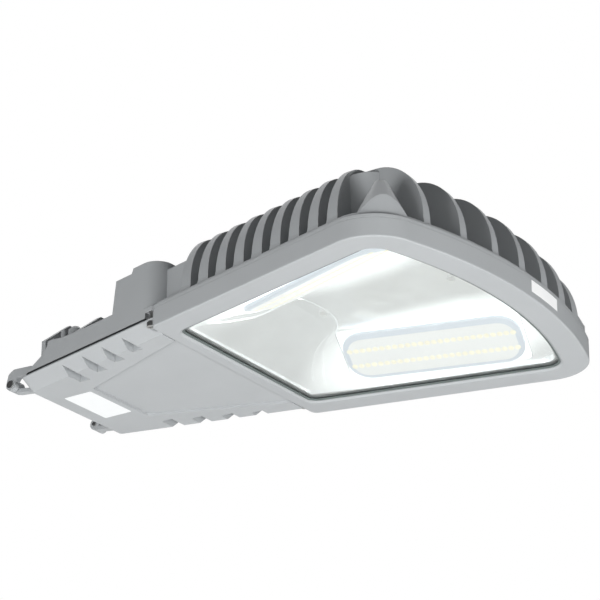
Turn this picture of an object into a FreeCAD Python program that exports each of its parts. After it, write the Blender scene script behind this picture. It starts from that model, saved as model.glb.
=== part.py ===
"""LED street light head: a finned die-cast housing with a glazed lamp chamber and a hinged gear cover.

Stations are distances in front of the hinge axis, levels are heights above the lower face.
The frame's origin is the centre of the pole socket's mouth: +X runs to the front, +Z is up.
"""
import FreeCAD, Part
import math
import os

# Driving dimensions (mm)
socket_station = 35.0          # mouth of the pole socket
socket_level = 45.0            # axis of the pole socket
side_half_width = 77.9         # half width of the side line at the hinge axis
side_slope = 0.23              # how much the half width grows with the station
tip_station = 523.6            # foremost point of the rim
front_radius = 460.0
corner_radius = 44.0
least_corner = 6.0             # no front corner is turned tighter than this

frame_rear = 212.6             # rear end of the glass frame
frame_height = 17.5
frame_rear_radius = 8.0
frame_corner = 2.0             # smallest corner of the rim and of the parts behind it
frame_wall = 3.5
frame_floor = 3.0
crease_radius = 1.5
opening_inset = 23.8           # lower edge of the glass opening, in from the rim
opening_rear = frame_rear + 11.4     # rear edge of the same opening
opening_rear_radius = 13.0
opening_least_corner = 3.0
opening_chamfer = 2.2
opening_land = 0.8             # straight part of the opening's edge over the chamfer
ledge_level = 2.2              # top of the ledge that carries the glass gasket
seat_width = 0.6               # step beside the gasket

lip_height = 3.3
body_inset = 3.0               # housing walls stand in from the lip
deck_height = 6.5
wall = 3.5
chamber_wall = 4.0

ceiling_level = 39.5           # reflector ceiling
ridge_station = 375.0          # a point on the ridge between the ceiling and the side wall
ridge_half_width = 63.4
ridge_slope = 0.293
side_tilt = 23.7               # slope of the lamp chamber's side walls, degrees
rear_ridge_station = 299.0
rear_tilt = 22.9
front_ridge_station = 460.0
front_tilt = 44.0

glass_thickness = 4.0
gasket_lip = 1.0
gasket_web = 1.5
gasket_bite = 4.5
gasket_show = 2.0              # the gasket shows this far inside the opening
gasket_ledge = 2.0             # flat of the housing over the gasket's inner edge
housing_gasket_width = 2.2
housing_gasket_height = 1.5
groove_play = 0.2              # between a seal and its groove

fin_count = 9
fin_pitch = 23.0
first_fin_station = frame_rear + 41.0
fin_base = 11.5
fin_tip = 5.6
fin_top_level = 89.0
fin_shoulder_level = 29.0
fin_shoulder_run = 50.0
fin_inset = 4.0                # feet of the fins, in from the lip
fin_lean = 2.0                 # how far a fin's end leans in below its shoulder
front_fin_count = 7
front_fin_pitch = 41.75
front_fin_drop = 0.8           # the front fins end just below the cross fins
corner_boss_radius = 25.5
corner_boss_tip_radius = 5.2
corner_boss_level = 57.0
corner_boss_inset = 17.0
fin_blank = fin_base + 6.0     # thickness of a fin's plate before its draft is cut
lobe_run = 17.7                # from the last cross fin to the inner corner of the cone's pocket
lobe_rear_inset = 21.0         # where the pocket's slanted face leaves that fin, in from the side line
lobe_top_level = 84.5
lobe_draft = 3.0
lobe_overrun = 9.0

block_rear = 154.0             # driver block
block_front = frame_rear + 4.4
block_step = 180.0
block_low_level = 64.6
block_top_level = 69.3
block_rear_lean = 4.0
block_step_lean = 2.0
block_corner_radius = 20.0
neck_inset = 18.0              # walls between the driver block and the first fin
neck_level = 62.0

seam_level = 12.0              # top of the gear cover's rim
cover_gasket_height = 2.2
seam_clearance = 0.3
cover_rear = 20.0
cover_inset = 4.0              # cover and gear compartment, in from the side line
cover_corner_radius = 12.0
cover_least_corner = 3.0
cover_front_corner = 1.5
cover_land = 1.0               # upright part of the cover's edge below the seam
cover_gasket_front = 3.6
cover_bevel = 13.0
cover_rear_bevel = 5.0
cover_wall = 2.6
cover_front_gap = 0.6
rear_foot_station = 25.0
rear_slope_steps = ((12.0, 4.0), (25.0, 10.0), (33.0, 16.5))     # runs and rises over the foot
rear_lean_share = 0.6          # share of the wall that a slope's inside drops by
shelf_station = 60.0           # flat shelf under the socket's mouth
shelf_length = 6.0
shelf_level = 36.8
fall_station = 80.0            # the roof falls from the shelf in two steps
fall_level = 34.0
roof_station = 116.0
roof_level = 33.0

panel_rear = 78.0
panel_rear_half = 42.0
panel_front_half = 91.0
panel_depth = 2.4
panel_corner = 3.0
panel_lining_low = 0.5
groove_count = 4
groove_first_station = 79.4
groove_pitch = 28.5
groove_first_half = 61.7
groove_spread = 0.35
groove_depth = 8.0
groove_run = 13.5
groove_lining = 2.0
groove_overrun = 6.0

hinge_level = 12.3
hinge_pin_radius = 2.0
hinge_clearance = 0.1
barrel_radius = 5.6
knuckle_inner = 55.5
knuckle_outer = 62.9
lug_inner = 63.3
lug_outer = 69.5
lug_reach = 44.0               # front end of the lug on the roof's edge
lug_foot_rise = 2.5
lug_heel = 27.0                # where the lug's underside reaches the rear foot
lug_heel_rise = 1.5
lug_neck_front = 22.0          # underside of the swan neck
lug_neck_rear = 8.0
lug_neck_level = 18.5
lug_neck_radius = 2.0
lug_throat = 5.0
lug_throat_level = 14.3
lug_rear = 5.2
lug_rear_level = 14.8
lug_shoulder = 3.4
lug_shoulder_level = 23.3
lug_crest = 3.0                # top of the swan neck
lug_crest_radius = 4.0
lug_top_level = 27.3
lug_top_radius = 6.0
lug_slope_start = 24.0
lug_slope_level = 26.3
lug_slope_radius = 8.0
lug_end_level = 21.3
arm_lap = 12.0                 # the cover's hinge arm laps its floor by this
arm_rear = 3.5
arm_rear_level = 8.0
arm_toe = 3.0
arm_toe_level = 5.7
arm_toe_radius = 4.0
arm_bend = 14.0
arm_bend_level = 4.6
arm_bend_radius = 5.0
arm_heel = 1.0
arm_heel_level = 7.6
arm_throat = 5.0
arm_throat_level = 9.9
arm_low_level = 2.0
arm_high_level = 6.0
pin_inner_end = 1.5
pin_head_height = 1.6

captive_front = 4.6            # captive screws, behind the cover's front edge
captive_inset = 7.4            # captive screws, in from the side line
captive_head_radius = 4.6
captive_shank_radius = 2.0
captive_hole_radius = 2.6
captive_notch_radius = 6.6
captive_ear_level = 9.0        # top of the ear that the head lies under
captive_head_height = 4.0
captive_slot_width = 1.2
captive_slot_depth = 1.2
captive_recess = 5.0
captive_seat_rear = 9.0        # solid metal round the screw's notch in the cover
captive_seat_side = 10.0
captive_clip_radius = 4.2
captive_clip_height = 0.8

spigot_bore_radius = 21.5
socket_wall = 3.5
socket_length = 76.0
mouth_clearing = 12.0          # nothing stands in the bore's way behind its mouth
cable_hole_radius = 4.5        # at the bottom of the socket's end wall
cable_hole_margin = 1.2        # between this hole and the bore's side
bush_flange = 1.4              # flange of the bushes in the wall to the lamp chamber
cable_bush_wall = 1.3
cable_bush_end = 1.5
web_width = 5.0                # shouldered webs that carry the socket
web_pitch = 38.0
web_top_level = 76.0
web_top_half = 34.3
web_slope = 0.8
web_half = 68.0
clamp_station = 64.0
clamp_half = 54.0
clamp_boss_radius = 6.8
clamp_boss_level = 61.5
clamp_boss_cone = 3.0
clamp_boss_drop = 4.0          # the bosses end this far below the roof's inside
clamp_hole_top = 56.5
clamp_bolt_radius = 4.0
clamp_head_radius = 7.4
clamp_head_height = 5.5
clamp_bolt_drop = 9.0
clamp_hole_play = 0.5
clamp_washer_radius = 7.5
washer_height = 1.6
pilot_boss_station = 46.0
pilot_boss_half = 50.0
pilot_boss_radius = 2.6
pilot_boss_level = 63.5
pilot_boss_foot = 20.0
saddle_width = 13.0
saddle_thickness = 4.0
saddle_gap = 0.3
saddle_window_gap = 1.0        # round the saddle in the socket's wall
saddle_window_play = 1.2
saddle_window_level = 36.0
saddle_drop = 4.3              # the ears lie this far below the roof's inside
saddle_ear = 8.0               # ears reach this far past the bolts

board_station = 369.0
board_half = 94.0
board_length = 172.0
board_width = 60.0
board_thickness = 1.6
pad_lift = 1.5                 # board seat above the reflector's face
reflector_thickness = 1.2
reflector_play = 0.4
reflector_screw_rear = 12.0
reflector_screw_front = 14.0
reflector_hole_depth = 4.8
reflector_head_height = 1.6
window_depth = 9.0
board_window_gap = 1.0
led_count = 26
led_end = 7.0                  # from the lens's end to the middle of the first LED
led_row_offset = 9.5
led_size = 3.4
led_height = 0.7
lens_length = 169.0
lens_width = 57.0
lens_height = 4.6
lens_corner = 12.0
lens_wall = 1.4
lens_flange = 3.5
lens_gasket_height = 0.6
lens_rim_height = 1.2
lens_pocket_play = 0.5
lens_bar_radius = 5.0
lens_bar_end = 9.0
lens_bar_level = 3.6
board_corner = 4.0
board_screw_end = 11.0
board_screw_skin = 0.5         # metal left over a board screw's hole
tip_play = 0.1                 # between a screw's tip and the end of its hole
board_head_height = 2.2
screw_clearance = 0.25

driver_length = 150.0
driver_width = 49.0
driver_height = 33.0
driver_station = 162.5
driver_pad = 3.0
driver_tab = 10.0
driver_tab_thickness = 2.0
driver_pad_radius = 6.0
driver_hole_depth = 5.0
driver_screw_depth = 4.5
driver_screw_half = 18.0
driver_tab_inset = 4.0

terminal_station = 122.0
terminal_half = 44.0           # near side of the terminal block
terminal_width = 36.0
terminal_height = 17.0
terminal_poles = 3
terminal_well_radius = 2.6
terminal_well_depth = 6.0
terminal_well_rear = 7.0
terminal_well_front = 17.0
surge_half = -72.0             # far side of the surge protector
surge_width = 46.0
surge_height = 20.0
gear_part_length = 24.0
gear_foot_inset = 6.0
gear_foot_reach = 7.0
gear_foot_height = 3.0
gear_screw_radius = 1.5
gear_screw_reach = 3.6
gear_head_radius = 2.8
gear_head_height = 2.0
gear_hole_depth = 2.6
hole_end_play = 0.2            # between a screw's tip and the end of its tapped hole

cable_clamp_station = 128.0
cable_clamp_half = 11.0
cable_clamp_drop = 8.0         # length of the feet under the roof
cable_clamp_width = 10.0
cable_clamp_ear = 6.0
cable_clamp_height = 4.0
cable_clamp_foot_radius = 4.5
cable_notch_radius = 5.0
cable_notch_level = 3.0
cable_clamp_hole_depth = 6.2
cable_clamp_head_height = 2.4
wire_hole_half = 30.0
wire_hole_level = 45.0
wire_hole_radius = 5.0
wire_bush_radius = 7.5
wire_bush_hole = 2.5
bush_seat_depth = 1.5
vent_radius = 6.0
vent_stem_radius = 3.0
earth_station = 100.0
earth_half = 60.0
earth_stand = 6.0
earth_head_height = 3.0

seal_bar_width = 4.8
seal_bar_lap = 6.0
corner_head_depth = 4.0
frame_screw_inset = 10.5
fastener_radius = 2.0
fastener_head_radius = 3.8
fastener_head_height = 2.6
head_clearance = 0.4
frame_boss_radius = 4.6
frame_skin = 1.0               # the bosses keep this far in from the frame's outside
frame_screw_low = 6.0
over = 1.0                     # how far a cutting tool runs past the face it cuts

slope_length = math.sqrt(1.0 + side_slope ** 2)


def point(station, y, height):
    """A point from its station, side position and level."""
    return FreeCAD.Vector(station - socket_station, y, height - socket_level)


def block(s0, s1, y0, y1, h0, h1):
    """A plain box between stations, side positions and levels."""
    return Part.makeBox(s1 - s0, y1 - y0, h1 - h0, point(s0, y0, h0))


def post(station, y, h0, h1, radius):
    """An upright cylinder."""
    return Part.makeCylinder(radius, h1 - h0, point(station, y, h0), FreeCAD.Vector(0, 0, 1))


def taper(station, y, h0, h1, r0, r1):
    """An upright cone."""
    return Part.makeCone(r0, r1, h1 - h0, point(station, y, h0), FreeCAD.Vector(0, 0, 1))


def cross_rod(station, height, y0, y1, radius):
    """A cylinder that lies across the lamp."""
    return Part.makeCylinder(radius, y1 - y0, point(station, y0, height), FreeCAD.Vector(0, 1, 0))


def long_rod(s0, s1, y, height, radius):
    """A cylinder that lies along the lamp."""
    return Part.makeCylinder(radius, s1 - s0, point(s0, y, height), FreeCAD.Vector(1, 0, 0))


def mirrored(shape):
    """The same shape on the other side."""
    return shape.mirror(FreeCAD.Vector(0, 0, 0), FreeCAD.Vector(0, 1, 0))


def flipped(place):
    """The same place on the other side."""
    return FreeCAD.Vector(place.x, -place.y, place.z)


def both(shape):
    """A shape with its mirror image, as a list."""
    return [shape, mirrored(shape)]


def lines(*places):
    """Straight edges from place to place."""
    return [Part.makeLine(start, end) for start, end in zip(places, places[1:])]


def group(solids):
    """Separate solids that share one node."""
    return Part.makeCompound(solids)


def side_line(station, inset=0.0):
    """Half width of the side line at a station, moved in by an inset."""
    return side_half_width - inset * slope_length + side_slope * station


def corner_arc(before, corner, after, radius):
    """Start, middle and end of the arc that rounds a corner."""
    to_before = (before - corner).normalize()
    to_after = (after - corner).normalize()
    half_angle = to_before.getAngle(to_after) / 2
    run = radius / math.tan(half_angle)
    bisector = (to_before + to_after).normalize()
    middle = corner + bisector * (radius / math.sin(half_angle) - radius)
    return corner + to_before * run, middle, corner + to_after * run


def rounded_wire(corners, radii):
    """A closed wire through corners, each rounded by its radius."""
    edges = []
    ends = []
    count = len(corners)
    for index in range(count):
        corner = corners[index]
        if radii[index] > 0:
            start, middle, end = corner_arc(
                corners[index - 1], corner, corners[(index + 1) % count], radii[index])
            ends.append((start, middle, end))
        else:
            ends.append((corner, None, corner))
    for index in range(count):
        start, middle, end = ends[index]
        if middle is not None:
            edges.append(Part.Arc(start, middle, end).toShape())
        following = ends[(index + 1) % count][0]
        if end.distanceToPoint(following) > 1e-6:
            edges.append(Part.makeLine(end, following))
    return Part.Wire(edges)


def prism(wire, height):
    """A solid that rises from a flat wire."""
    return Part.Face(wire).extrude(FreeCAD.Vector(0, 0, height))


def front_corner(inset, radius):
    """Station and side position of the centre of a front corner's arc."""
    bow_station = tip_station - front_radius
    offset = side_line(0.0, inset) - radius * slope_length
    a = 1 + side_slope ** 2
    b = 2 * (side_slope * offset - bow_station)
    c = bow_station ** 2 + offset ** 2 - (front_radius - inset - radius) ** 2
    station = (-b + math.sqrt(b * b - 4 * a * c)) / (2 * a)
    return station, offset + side_slope * station


def lamp_wire(inset, rear, rear_radius, level):
    """The lamp's plan: straight flared sides, bowed front and rounded corners."""
    radius = max(corner_radius - inset, least_corner)
    bow_station = tip_station - front_radius
    centre_station, centre_y = front_corner(inset, radius)
    centre = point(centre_station, centre_y, level)
    outward = FreeCAD.Vector(-side_slope, 1, 0).normalize()
    forward = (centre - point(bow_station, 0, level)).normalize()
    side_end = centre + outward * radius
    bow_start = centre + forward * radius
    middle = centre + (outward + forward).normalize() * radius
    rear_corner = point(rear, side_line(rear, inset), level)
    rear_start, rear_middle, rear_end = corner_arc(
        point(rear, 0, level), rear_corner, side_end, rear_radius)
    tip = point(tip_station - inset, 0, level)
    edges = [
        Part.makeLine(flipped(rear_start), rear_start),
        Part.Arc(rear_start, rear_middle, rear_end).toShape(),
        Part.makeLine(rear_end, side_end),
        Part.Arc(side_end, middle, bow_start).toShape(),
        Part.Arc(bow_start, tip, flipped(bow_start)).toShape(),
        Part.Arc(flipped(bow_start), flipped(middle), flipped(side_end)).toShape(),
        Part.makeLine(flipped(side_end), flipped(rear_end)),
        Part.Arc(flipped(rear_end), flipped(rear_middle), flipped(rear_start)).toShape(),
    ]
    return Part.Wire(edges)


def rim_wire(inset, level):
    """Plan of the rim, in from its outer edge."""
    return lamp_wire(inset, frame_rear + inset, max(frame_rear_radius - inset, frame_corner), level)


def opening_wire(inset, level):
    """Plan that follows the glass opening, in from the rim."""
    shift = inset - opening_inset
    return lamp_wire(inset, opening_rear + shift, max(opening_rear_radius - shift, opening_least_corner), level)


def rim_prism(inset, h0, h1):
    """A block with the rim's plan, between two levels."""
    return prism(rim_wire(inset, h0), h1 - h0)


def opening_prism(inset, h0, h1):
    """A block with the plan of the glass opening, between two levels."""
    return prism(opening_wire(inset, h0), h1 - h0)


def wall_normal():
    """Upward normal of the left side wall of the lamp chamber."""
    tilt = math.radians(side_tilt)
    across = FreeCAD.Vector(-ridge_slope, 1, 0).normalize()
    return across * math.sin(tilt) + FreeCAD.Vector(0, 0, math.cos(tilt))


def half_space(origin, normal):
    """A large block on the side of a plane that its normal points to."""
    size = 4 * tip_station
    slab = Part.makeBox(size, size, size, FreeCAD.Vector(-size / 2, -size / 2, 0))
    slab.Placement = FreeCAD.Placement(origin, FreeCAD.Rotation(FreeCAD.Vector(0, 0, 1), normal))
    return slab


def chamber(inset, lift, low):
    """The lamp chamber: a hipped tray over the glass, grown outward by a lift."""
    body = opening_prism(inset, low, ceiling_level + lift)
    side = wall_normal()
    ridge = point(ridge_station, ridge_half_width, ceiling_level)
    rear = FreeCAD.Vector(-math.sin(math.radians(rear_tilt)), 0, math.cos(math.radians(rear_tilt)))
    front = FreeCAD.Vector(math.sin(math.radians(front_tilt)), 0, math.cos(math.radians(front_tilt)))
    left = half_space(ridge + side * lift, side)
    cuts = both(left)
    cuts.append(half_space(point(rear_ridge_station, 0, ceiling_level) + rear * lift, rear))
    cuts.append(half_space(point(front_ridge_station, 0, ceiling_level) + front * lift, front))
    return body.cut(cuts)


# Plan values shared by the glass, its gasket and the chamber
ledge_inset = opening_inset + opening_chamfer
gasket_outer_inset = ledge_inset + gasket_show - gasket_bite - gasket_web
glass_inset = gasket_outer_inset + gasket_web
gasket_inner_inset = glass_inset + gasket_bite
glass_low = ledge_level + gasket_lip
glass_high = glass_low + glass_thickness
chamber_low = glass_high + gasket_lip
chamber_inset = gasket_inner_inset + gasket_ledge
fin_root_level = frame_height + 1.0
last_fin_station = first_fin_station + (fin_count - 1) * fin_pitch
lobe_station = last_fin_station + lobe_run
lobe_rear_half = side_line(last_fin_station, lobe_rear_inset)
outer_front_fin = (front_fin_count - 1) / 2 * front_fin_pitch
inner_wall_inset = gasket_outer_inset - seat_width
lip_level = frame_height + lip_height
deck_level = frame_height + deck_height
house_low = seam_level + cover_gasket_height + seam_clearance
web_foot_level = house_low + 1.0
cable_hole_level = socket_level - spigot_bore_radius + cable_hole_margin + cable_hole_radius
cover_front = frame_rear - cover_front_gap
captive_station = cover_front - captive_front
captive_half = side_line(captive_station, captive_inset)
ceiling_of_gear = roof_level - wall
saddle_ear_level = ceiling_of_gear - saddle_drop
clamp_seat_level = saddle_ear_level - saddle_thickness - washer_height
driver_top_level = block_low_level - wall - driver_pad
board_top = pad_lift
board_face = pad_lift - board_thickness
led_pitch = (lens_length - 2 * led_end) / (led_count - 1)
board_screw_reach = lens_length / 2 - lens_flange - board_screw_end
board_screw_places = [(-board_screw_reach, 0.0), (0.0, 0.0), (board_screw_reach, 0.0)]
bush_station = block_front - wall


def frame_screw_places():
    """Stations and side positions of the frame screws, in the channels between the fins."""
    places = []
    for step in (1.5, 4.5, 7.5):
        station = first_fin_station + step * fin_pitch
        places.append((station, side_line(station, frame_screw_inset)))
    places.append(corner_boss_place())
    return places


def corner_boss_place():
    """Centre of the cone boss that stands in the front corner of the rim."""
    station, y = front_corner(0.0, corner_radius)
    reach = (corner_radius - corner_boss_inset) * math.sqrt(0.5)
    return station + reach, y + reach


def fin_end(foot, inward, top):
    """Edges of a fin's outer end, an upright foot and a quarter ellipse, and the place they end in."""
    rise = top - fin_shoulder_level
    places = []
    for step in range(7):
        angle = math.radians(15 * step)
        run = fin_lean + (fin_shoulder_run - fin_lean) * (1 - math.cos(angle))
        place = foot + inward * run
        place.z = fin_shoulder_level + rise * math.sin(angle) - socket_level
        places.append(place)
    curve = Part.BSplineCurve()
    curve.interpolate(places)
    return [Part.makeLine(foot, places[0]), curve.toShape()], places[-1]


def fin_plate(edges, thickness):
    """A plate centred on the plane of its edges."""
    plate = Part.Face(Part.Wire(edges)).extrude(thickness)
    plate.translate(thickness * -0.5)
    return plate


def drafted(shape, centre, along_x):
    """A plate cut down to the drafted section of a fin about its own plane."""
    spread = (fin_base - fin_tip) / 2
    height = fin_top_level - lip_level
    angle = math.atan(spread / height)
    cuts = []
    for sign in (1, -1):
        normal = FreeCAD.Vector(0, 0, math.sin(angle))
        if along_x:
            normal.y = sign * math.cos(angle)
            origin = point(0, centre + sign * fin_base / 2, lip_level)
        else:
            normal.x = sign * math.cos(angle)
            origin = point(centre + sign * fin_base / 2, 0, lip_level)
        cuts.append(half_space(origin, normal))
    return shape.cut(cuts)


def cross_fin(station):
    """One fin that runs from side to side."""
    foot = point(station, side_line(station, fin_inset), fin_root_level)
    end, crest = fin_end(foot, FreeCAD.Vector(0, -1, 0), fin_top_level)
    edges = end + lines(crest, flipped(crest))
    edges.extend([mirrored(edge) for edge in reversed(end)])
    edges.extend(lines(flipped(foot), foot))
    plate = fin_plate(edges, FreeCAD.Vector(fin_blank, 0, 0))
    root_half = side_line(station, ledge_inset)
    root = block(station - fin_blank / 2, station + fin_blank / 2, -root_half, root_half,
                 chamber_low + over, fin_root_level)
    return drafted(plate.fuse(root), station, False)


def front_fin(y):
    """One fin that runs from the last cross fin to the front of the rim."""
    tip = tip_station - front_radius + math.sqrt((front_radius - fin_inset) ** 2 - y * y)
    top = fin_top_level - front_fin_drop
    foot = point(tip, y, fin_root_level)
    rear = tip - 2 * fin_shoulder_run
    end, crest = fin_end(foot, FreeCAD.Vector(-1, 0, 0), top)
    edges = end + lines(crest, point(rear, y, top), point(rear, y, fin_root_level), foot)
    plate = fin_plate(edges, FreeCAD.Vector(0, fin_blank, 0))
    plate = plate.common(block(last_fin_station, tip + over, y - fin_blank, y + fin_blank,
                               fin_root_level - over, fin_top_level + over))
    root = block(last_fin_station, tip - ledge_inset, y - fin_blank / 2, y + fin_blank / 2,
                 chamber_low + over, fin_root_level)
    return drafted(plate.fuse(root), y, True)


def corner_lobe():
    """Slanted fill between the last cross fin and the outer front fin, behind the cone boss."""
    last = last_fin_station
    sections = []
    for level, spread in ((fin_root_level, lobe_draft), (lobe_top_level, 0.0)):
        corners = [
            point(last, lobe_rear_half + spread, level),
            point(lobe_station + spread, outer_front_fin + fin_tip / 2, level),
            point(lobe_station + spread, outer_front_fin, level),
            point(last, outer_front_fin, level),
        ]
        sections.append(Part.makePolygon(corners + corners[:1]))
    fill = Part.makeLoft(sections, True, True)
    foot = point(last, side_line(last, fin_inset), fin_root_level)
    end, crest = fin_end(foot, FreeCAD.Vector(0, -1, 0), lobe_top_level)
    edges = end + lines(crest, point(last, 0, lobe_top_level), point(last, 0, fin_root_level), foot)
    outline = Part.Face(Part.Wire(edges))
    return fill.common(outline.extrude(FreeCAD.Vector(lobe_station - last + lobe_overrun, 0, 0)))


def rear_wire(inset, rear, front, rear_radius, end_radius, level):
    """Plan of the gear compartment: flared sides with rounded corners."""
    rear_half = side_line(rear, inset)
    front_half = side_line(front, inset)
    corners = [
        point(rear, rear_half, level),
        point(front, front_half, level),
        point(front, -front_half, level),
        point(rear, -rear_half, level),
    ]
    return rounded_wire(corners, [rear_radius, end_radius, end_radius, rear_radius])


def side_profile(points):
    """A solid as wide as the lamp from points in its side view."""
    half = side_line(tip_station) + 10 * over
    corners = [point(station, -half, level) for station, level in points]
    wire = Part.makePolygon(corners + corners[:1])
    return Part.Face(wire).extrude(FreeCAD.Vector(0, 2 * half, 0))


def rear_outline(shrink):
    """Side view of the gear compartment's casting, or of its hollow when shrunk."""
    foot = house_low - (over if shrink else 0)
    corners = [(rear_foot_station + shrink, foot)]
    for run, rise in rear_slope_steps:
        corners.append((rear_foot_station + run + shrink, house_low + rise - shrink * rear_lean_share))
    corners.extend([
        (shelf_station + shrink, shelf_level - shrink),
        (shelf_station + shelf_length + shrink, shelf_level - shrink),
        (fall_station, fall_level - shrink),
        (roof_station, roof_level - shrink),
        (block_rear + shrink, roof_level - shrink),
        (block_rear + block_rear_lean + shrink, block_low_level - shrink),
        (block_step + shrink, block_low_level - shrink),
        (block_step + block_step_lean + shrink, block_top_level - shrink),
        (block_front - shrink, block_top_level - shrink),
        (block_front - shrink, foot),
    ])
    return side_profile(corners)


def gear_plan(inset, low, high, front):
    """A block with the plan of the gear compartment and its driver block."""
    wire = rear_wire(inset, rear_foot_station + inset - cover_inset, front,
                     cover_corner_radius - inset, block_corner_radius - inset, low)
    return prism(wire, high - low)


def gear_rim():
    """A block with the plan of the gear compartment's straight rim."""
    wire = rear_wire(cover_inset, rear_foot_station, cover_front, cover_corner_radius,
                     frame_corner, house_low)
    return prism(wire, deck_level - house_low)


def gear_shell():
    """Outside of the gear compartment and the driver block."""
    plan = gear_plan(cover_inset, house_low, block_top_level + over, block_front)
    half = side_line(tip_station)
    frame_room = block(cover_front, block_front + over, -half, half, 0, frame_height)
    upper = plan.common(rear_outline(0.0)).cut(frame_room)
    return upper.fuse(gear_rim().common(rear_outline(0.0)))


def neck_wall():
    """Wall that joins the driver block to the first fin."""
    corners = [
        point(bush_station, side_line(bush_station, neck_inset + wall), fin_root_level),
        point(bush_station, side_line(bush_station, neck_inset), fin_root_level),
        point(first_fin_station, side_line(first_fin_station, neck_inset), fin_root_level),
        point(first_fin_station, side_line(first_fin_station, neck_inset + wall), fin_root_level),
    ]
    return prism(Part.makePolygon(corners + corners[:1]), neck_level - fin_root_level)


def gear_hollow():
    """Inside of the gear compartment, open below."""
    plan = gear_plan(cover_inset + wall, house_low - 2 * over, block_top_level, block_front - wall)
    return plan.common(rear_outline(wall))


def hinge_lug():
    """Swan-neck lug on the housing that carries the hinge pin."""
    corners = [
        (-lug_rear, lug_rear_level, 0.0),
        (-lug_shoulder, lug_shoulder_level, lug_crest_radius),
        (lug_crest, lug_top_level, lug_top_radius),
        (lug_slope_start, lug_slope_level, lug_slope_radius),
        (lug_reach, lug_end_level, 0.0),
        (lug_reach, house_low + lug_foot_rise, 0.0),
        (lug_heel, house_low + lug_heel_rise, lug_neck_radius),
        (lug_neck_front, lug_neck_level, lug_neck_radius),
        (lug_neck_rear, lug_neck_level, lug_neck_radius),
        (lug_throat, lug_throat_level, 0.0),
    ]
    arm = side_arm(corners, lug_inner, lug_outer)
    barrel = cross_rod(0, hinge_level, lug_inner, lug_outer, barrel_radius)
    bore = cross_rod(0, hinge_level, lug_inner - over, lug_outer + over, hinge_pin_radius)
    return arm.fuse(barrel).cut(bore)


def side_arm(corners, inner, outer):
    """An arm from the stations, levels and corner radii of its side view."""
    places = [point(station, inner, level) for station, level, radius in corners]
    wire = rounded_wire(places, [radius for station, level, radius in corners])
    return Part.Face(wire).extrude(FreeCAD.Vector(0, outer - inner, 0))


def socket_outer():
    """Outside of the pole socket with its shouldered webs and the bosses beside it."""
    end = socket_station + socket_length + socket_wall
    outer = spigot_bore_radius + socket_wall
    cone_level = clamp_boss_level - clamp_boss_cone
    parts = [long_rod(socket_station, end, 0, socket_level, outer)]
    parts.append(socket_web(socket_station, web_foot_level))
    parts.append(socket_web(socket_station + web_pitch, roof_level - wall / 2))
    for side in (1, -1):
        y = side * clamp_half
        parts.append(post(clamp_station, y, ceiling_of_gear - clamp_boss_drop, cone_level, clamp_boss_radius))
        parts.append(taper(clamp_station, y, cone_level, clamp_boss_level,
                           clamp_boss_radius, clamp_boss_radius - clamp_boss_cone))
        parts.append(post(pilot_boss_station, side * pilot_boss_half, pilot_boss_foot,
                          pilot_boss_level, pilot_boss_radius))
    return parts


def socket_web(station, foot):
    """Web across the gear compartment with slanted shoulders."""
    shoulder_level = web_top_level - web_slope * (web_half - web_top_half)
    corners = [
        point(station, -web_half, foot), point(station, -web_half, shoulder_level),
        point(station, -web_top_half, web_top_level), point(station, web_top_half, web_top_level),
        point(station, web_half, shoulder_level), point(station, web_half, foot),
    ]
    face = Part.Face(Part.makePolygon(corners + corners[:1]))
    return face.extrude(FreeCAD.Vector(web_width, 0, 0))


def socket_cuts():
    """Bore of the socket, the cable hole behind it and the window for the saddle."""
    end = socket_station + socket_length
    cuts = [long_rod(socket_station - mouth_clearing, end, 0, socket_level, spigot_bore_radius)]
    cuts.append(long_rod(end - over, end + socket_wall + cable_bush_end + seam_clearance, 0, cable_hole_level,
                         cable_hole_radius))
    window = saddle_width / 2 + saddle_window_gap
    half = spigot_bore_radius + saddle_gap + saddle_window_play
    cuts.append(block(clamp_station - window, clamp_station + window, -half, half,
                      0, saddle_window_level))
    for side in (1, -1):
        cuts.append(post(clamp_station, side * clamp_half, 0, clamp_hole_top, clamp_bolt_radius))
    return cuts


def driver_screw_places():
    """Stations and side positions of the driver's four screws."""
    reach = driver_length / 2 + driver_tab / 2
    middle = driver_station + driver_width / 2
    places = []
    for end in (-driver_screw_half, driver_screw_half):
        places.append((middle + end, reach))
        places.append((middle + end, -reach))
    return places


def lamp_half():
    """The housing's lid over the lamp chamber with its fins, cones and lobes."""
    parts = [
        rim_prism(0.0, frame_height, lip_level),
        rim_prism(body_inset, frame_height, deck_level),
        opening_prism(ledge_inset, chamber_low, deck_level),
        chamber(ledge_inset, pad_lift + chamber_wall, chamber_low),
    ]
    inner_guard = chamber(chamber_inset, pad_lift + chamber_wall / 2, ledge_level)
    for index in range(fin_count):
        parts.append(cross_fin(first_fin_station + index * fin_pitch).cut(inner_guard))
    for index in range(front_fin_count):
        y = index * front_fin_pitch - outer_front_fin
        parts.append(front_fin(y).cut(inner_guard))
    station, y = corner_boss_place()
    cone = taper(station, y, frame_height, corner_boss_level, corner_boss_radius, corner_boss_tip_radius)
    parts.extend(both(cone.common(rim_prism(body_inset, frame_height, corner_boss_level))))
    parts.extend(both(corner_lobe().cut(inner_guard)))
    return parts


def gear_half():
    """The housing's gear compartment with its driver block, socket and hinge lugs."""
    parts = [gear_shell()]
    parts.extend(both(neck_wall()))
    parts.extend(socket_outer())
    parts.extend(both(hinge_lug()))
    return parts


def frame_screw_cuts():
    """Holes of the frame screws through the housing, and the recesses in the cones."""
    cuts = []
    for station, y in frame_screw_places():
        cuts.extend(both(post(station, y, frame_height - over, fin_top_level,
                              fastener_radius + screw_clearance)))
    station, y = corner_boss_place()
    cuts.extend(both(post(station, y, corner_boss_level - corner_head_depth, corner_boss_level + over,
                          fastener_head_radius + head_clearance)))
    return cuts


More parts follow.
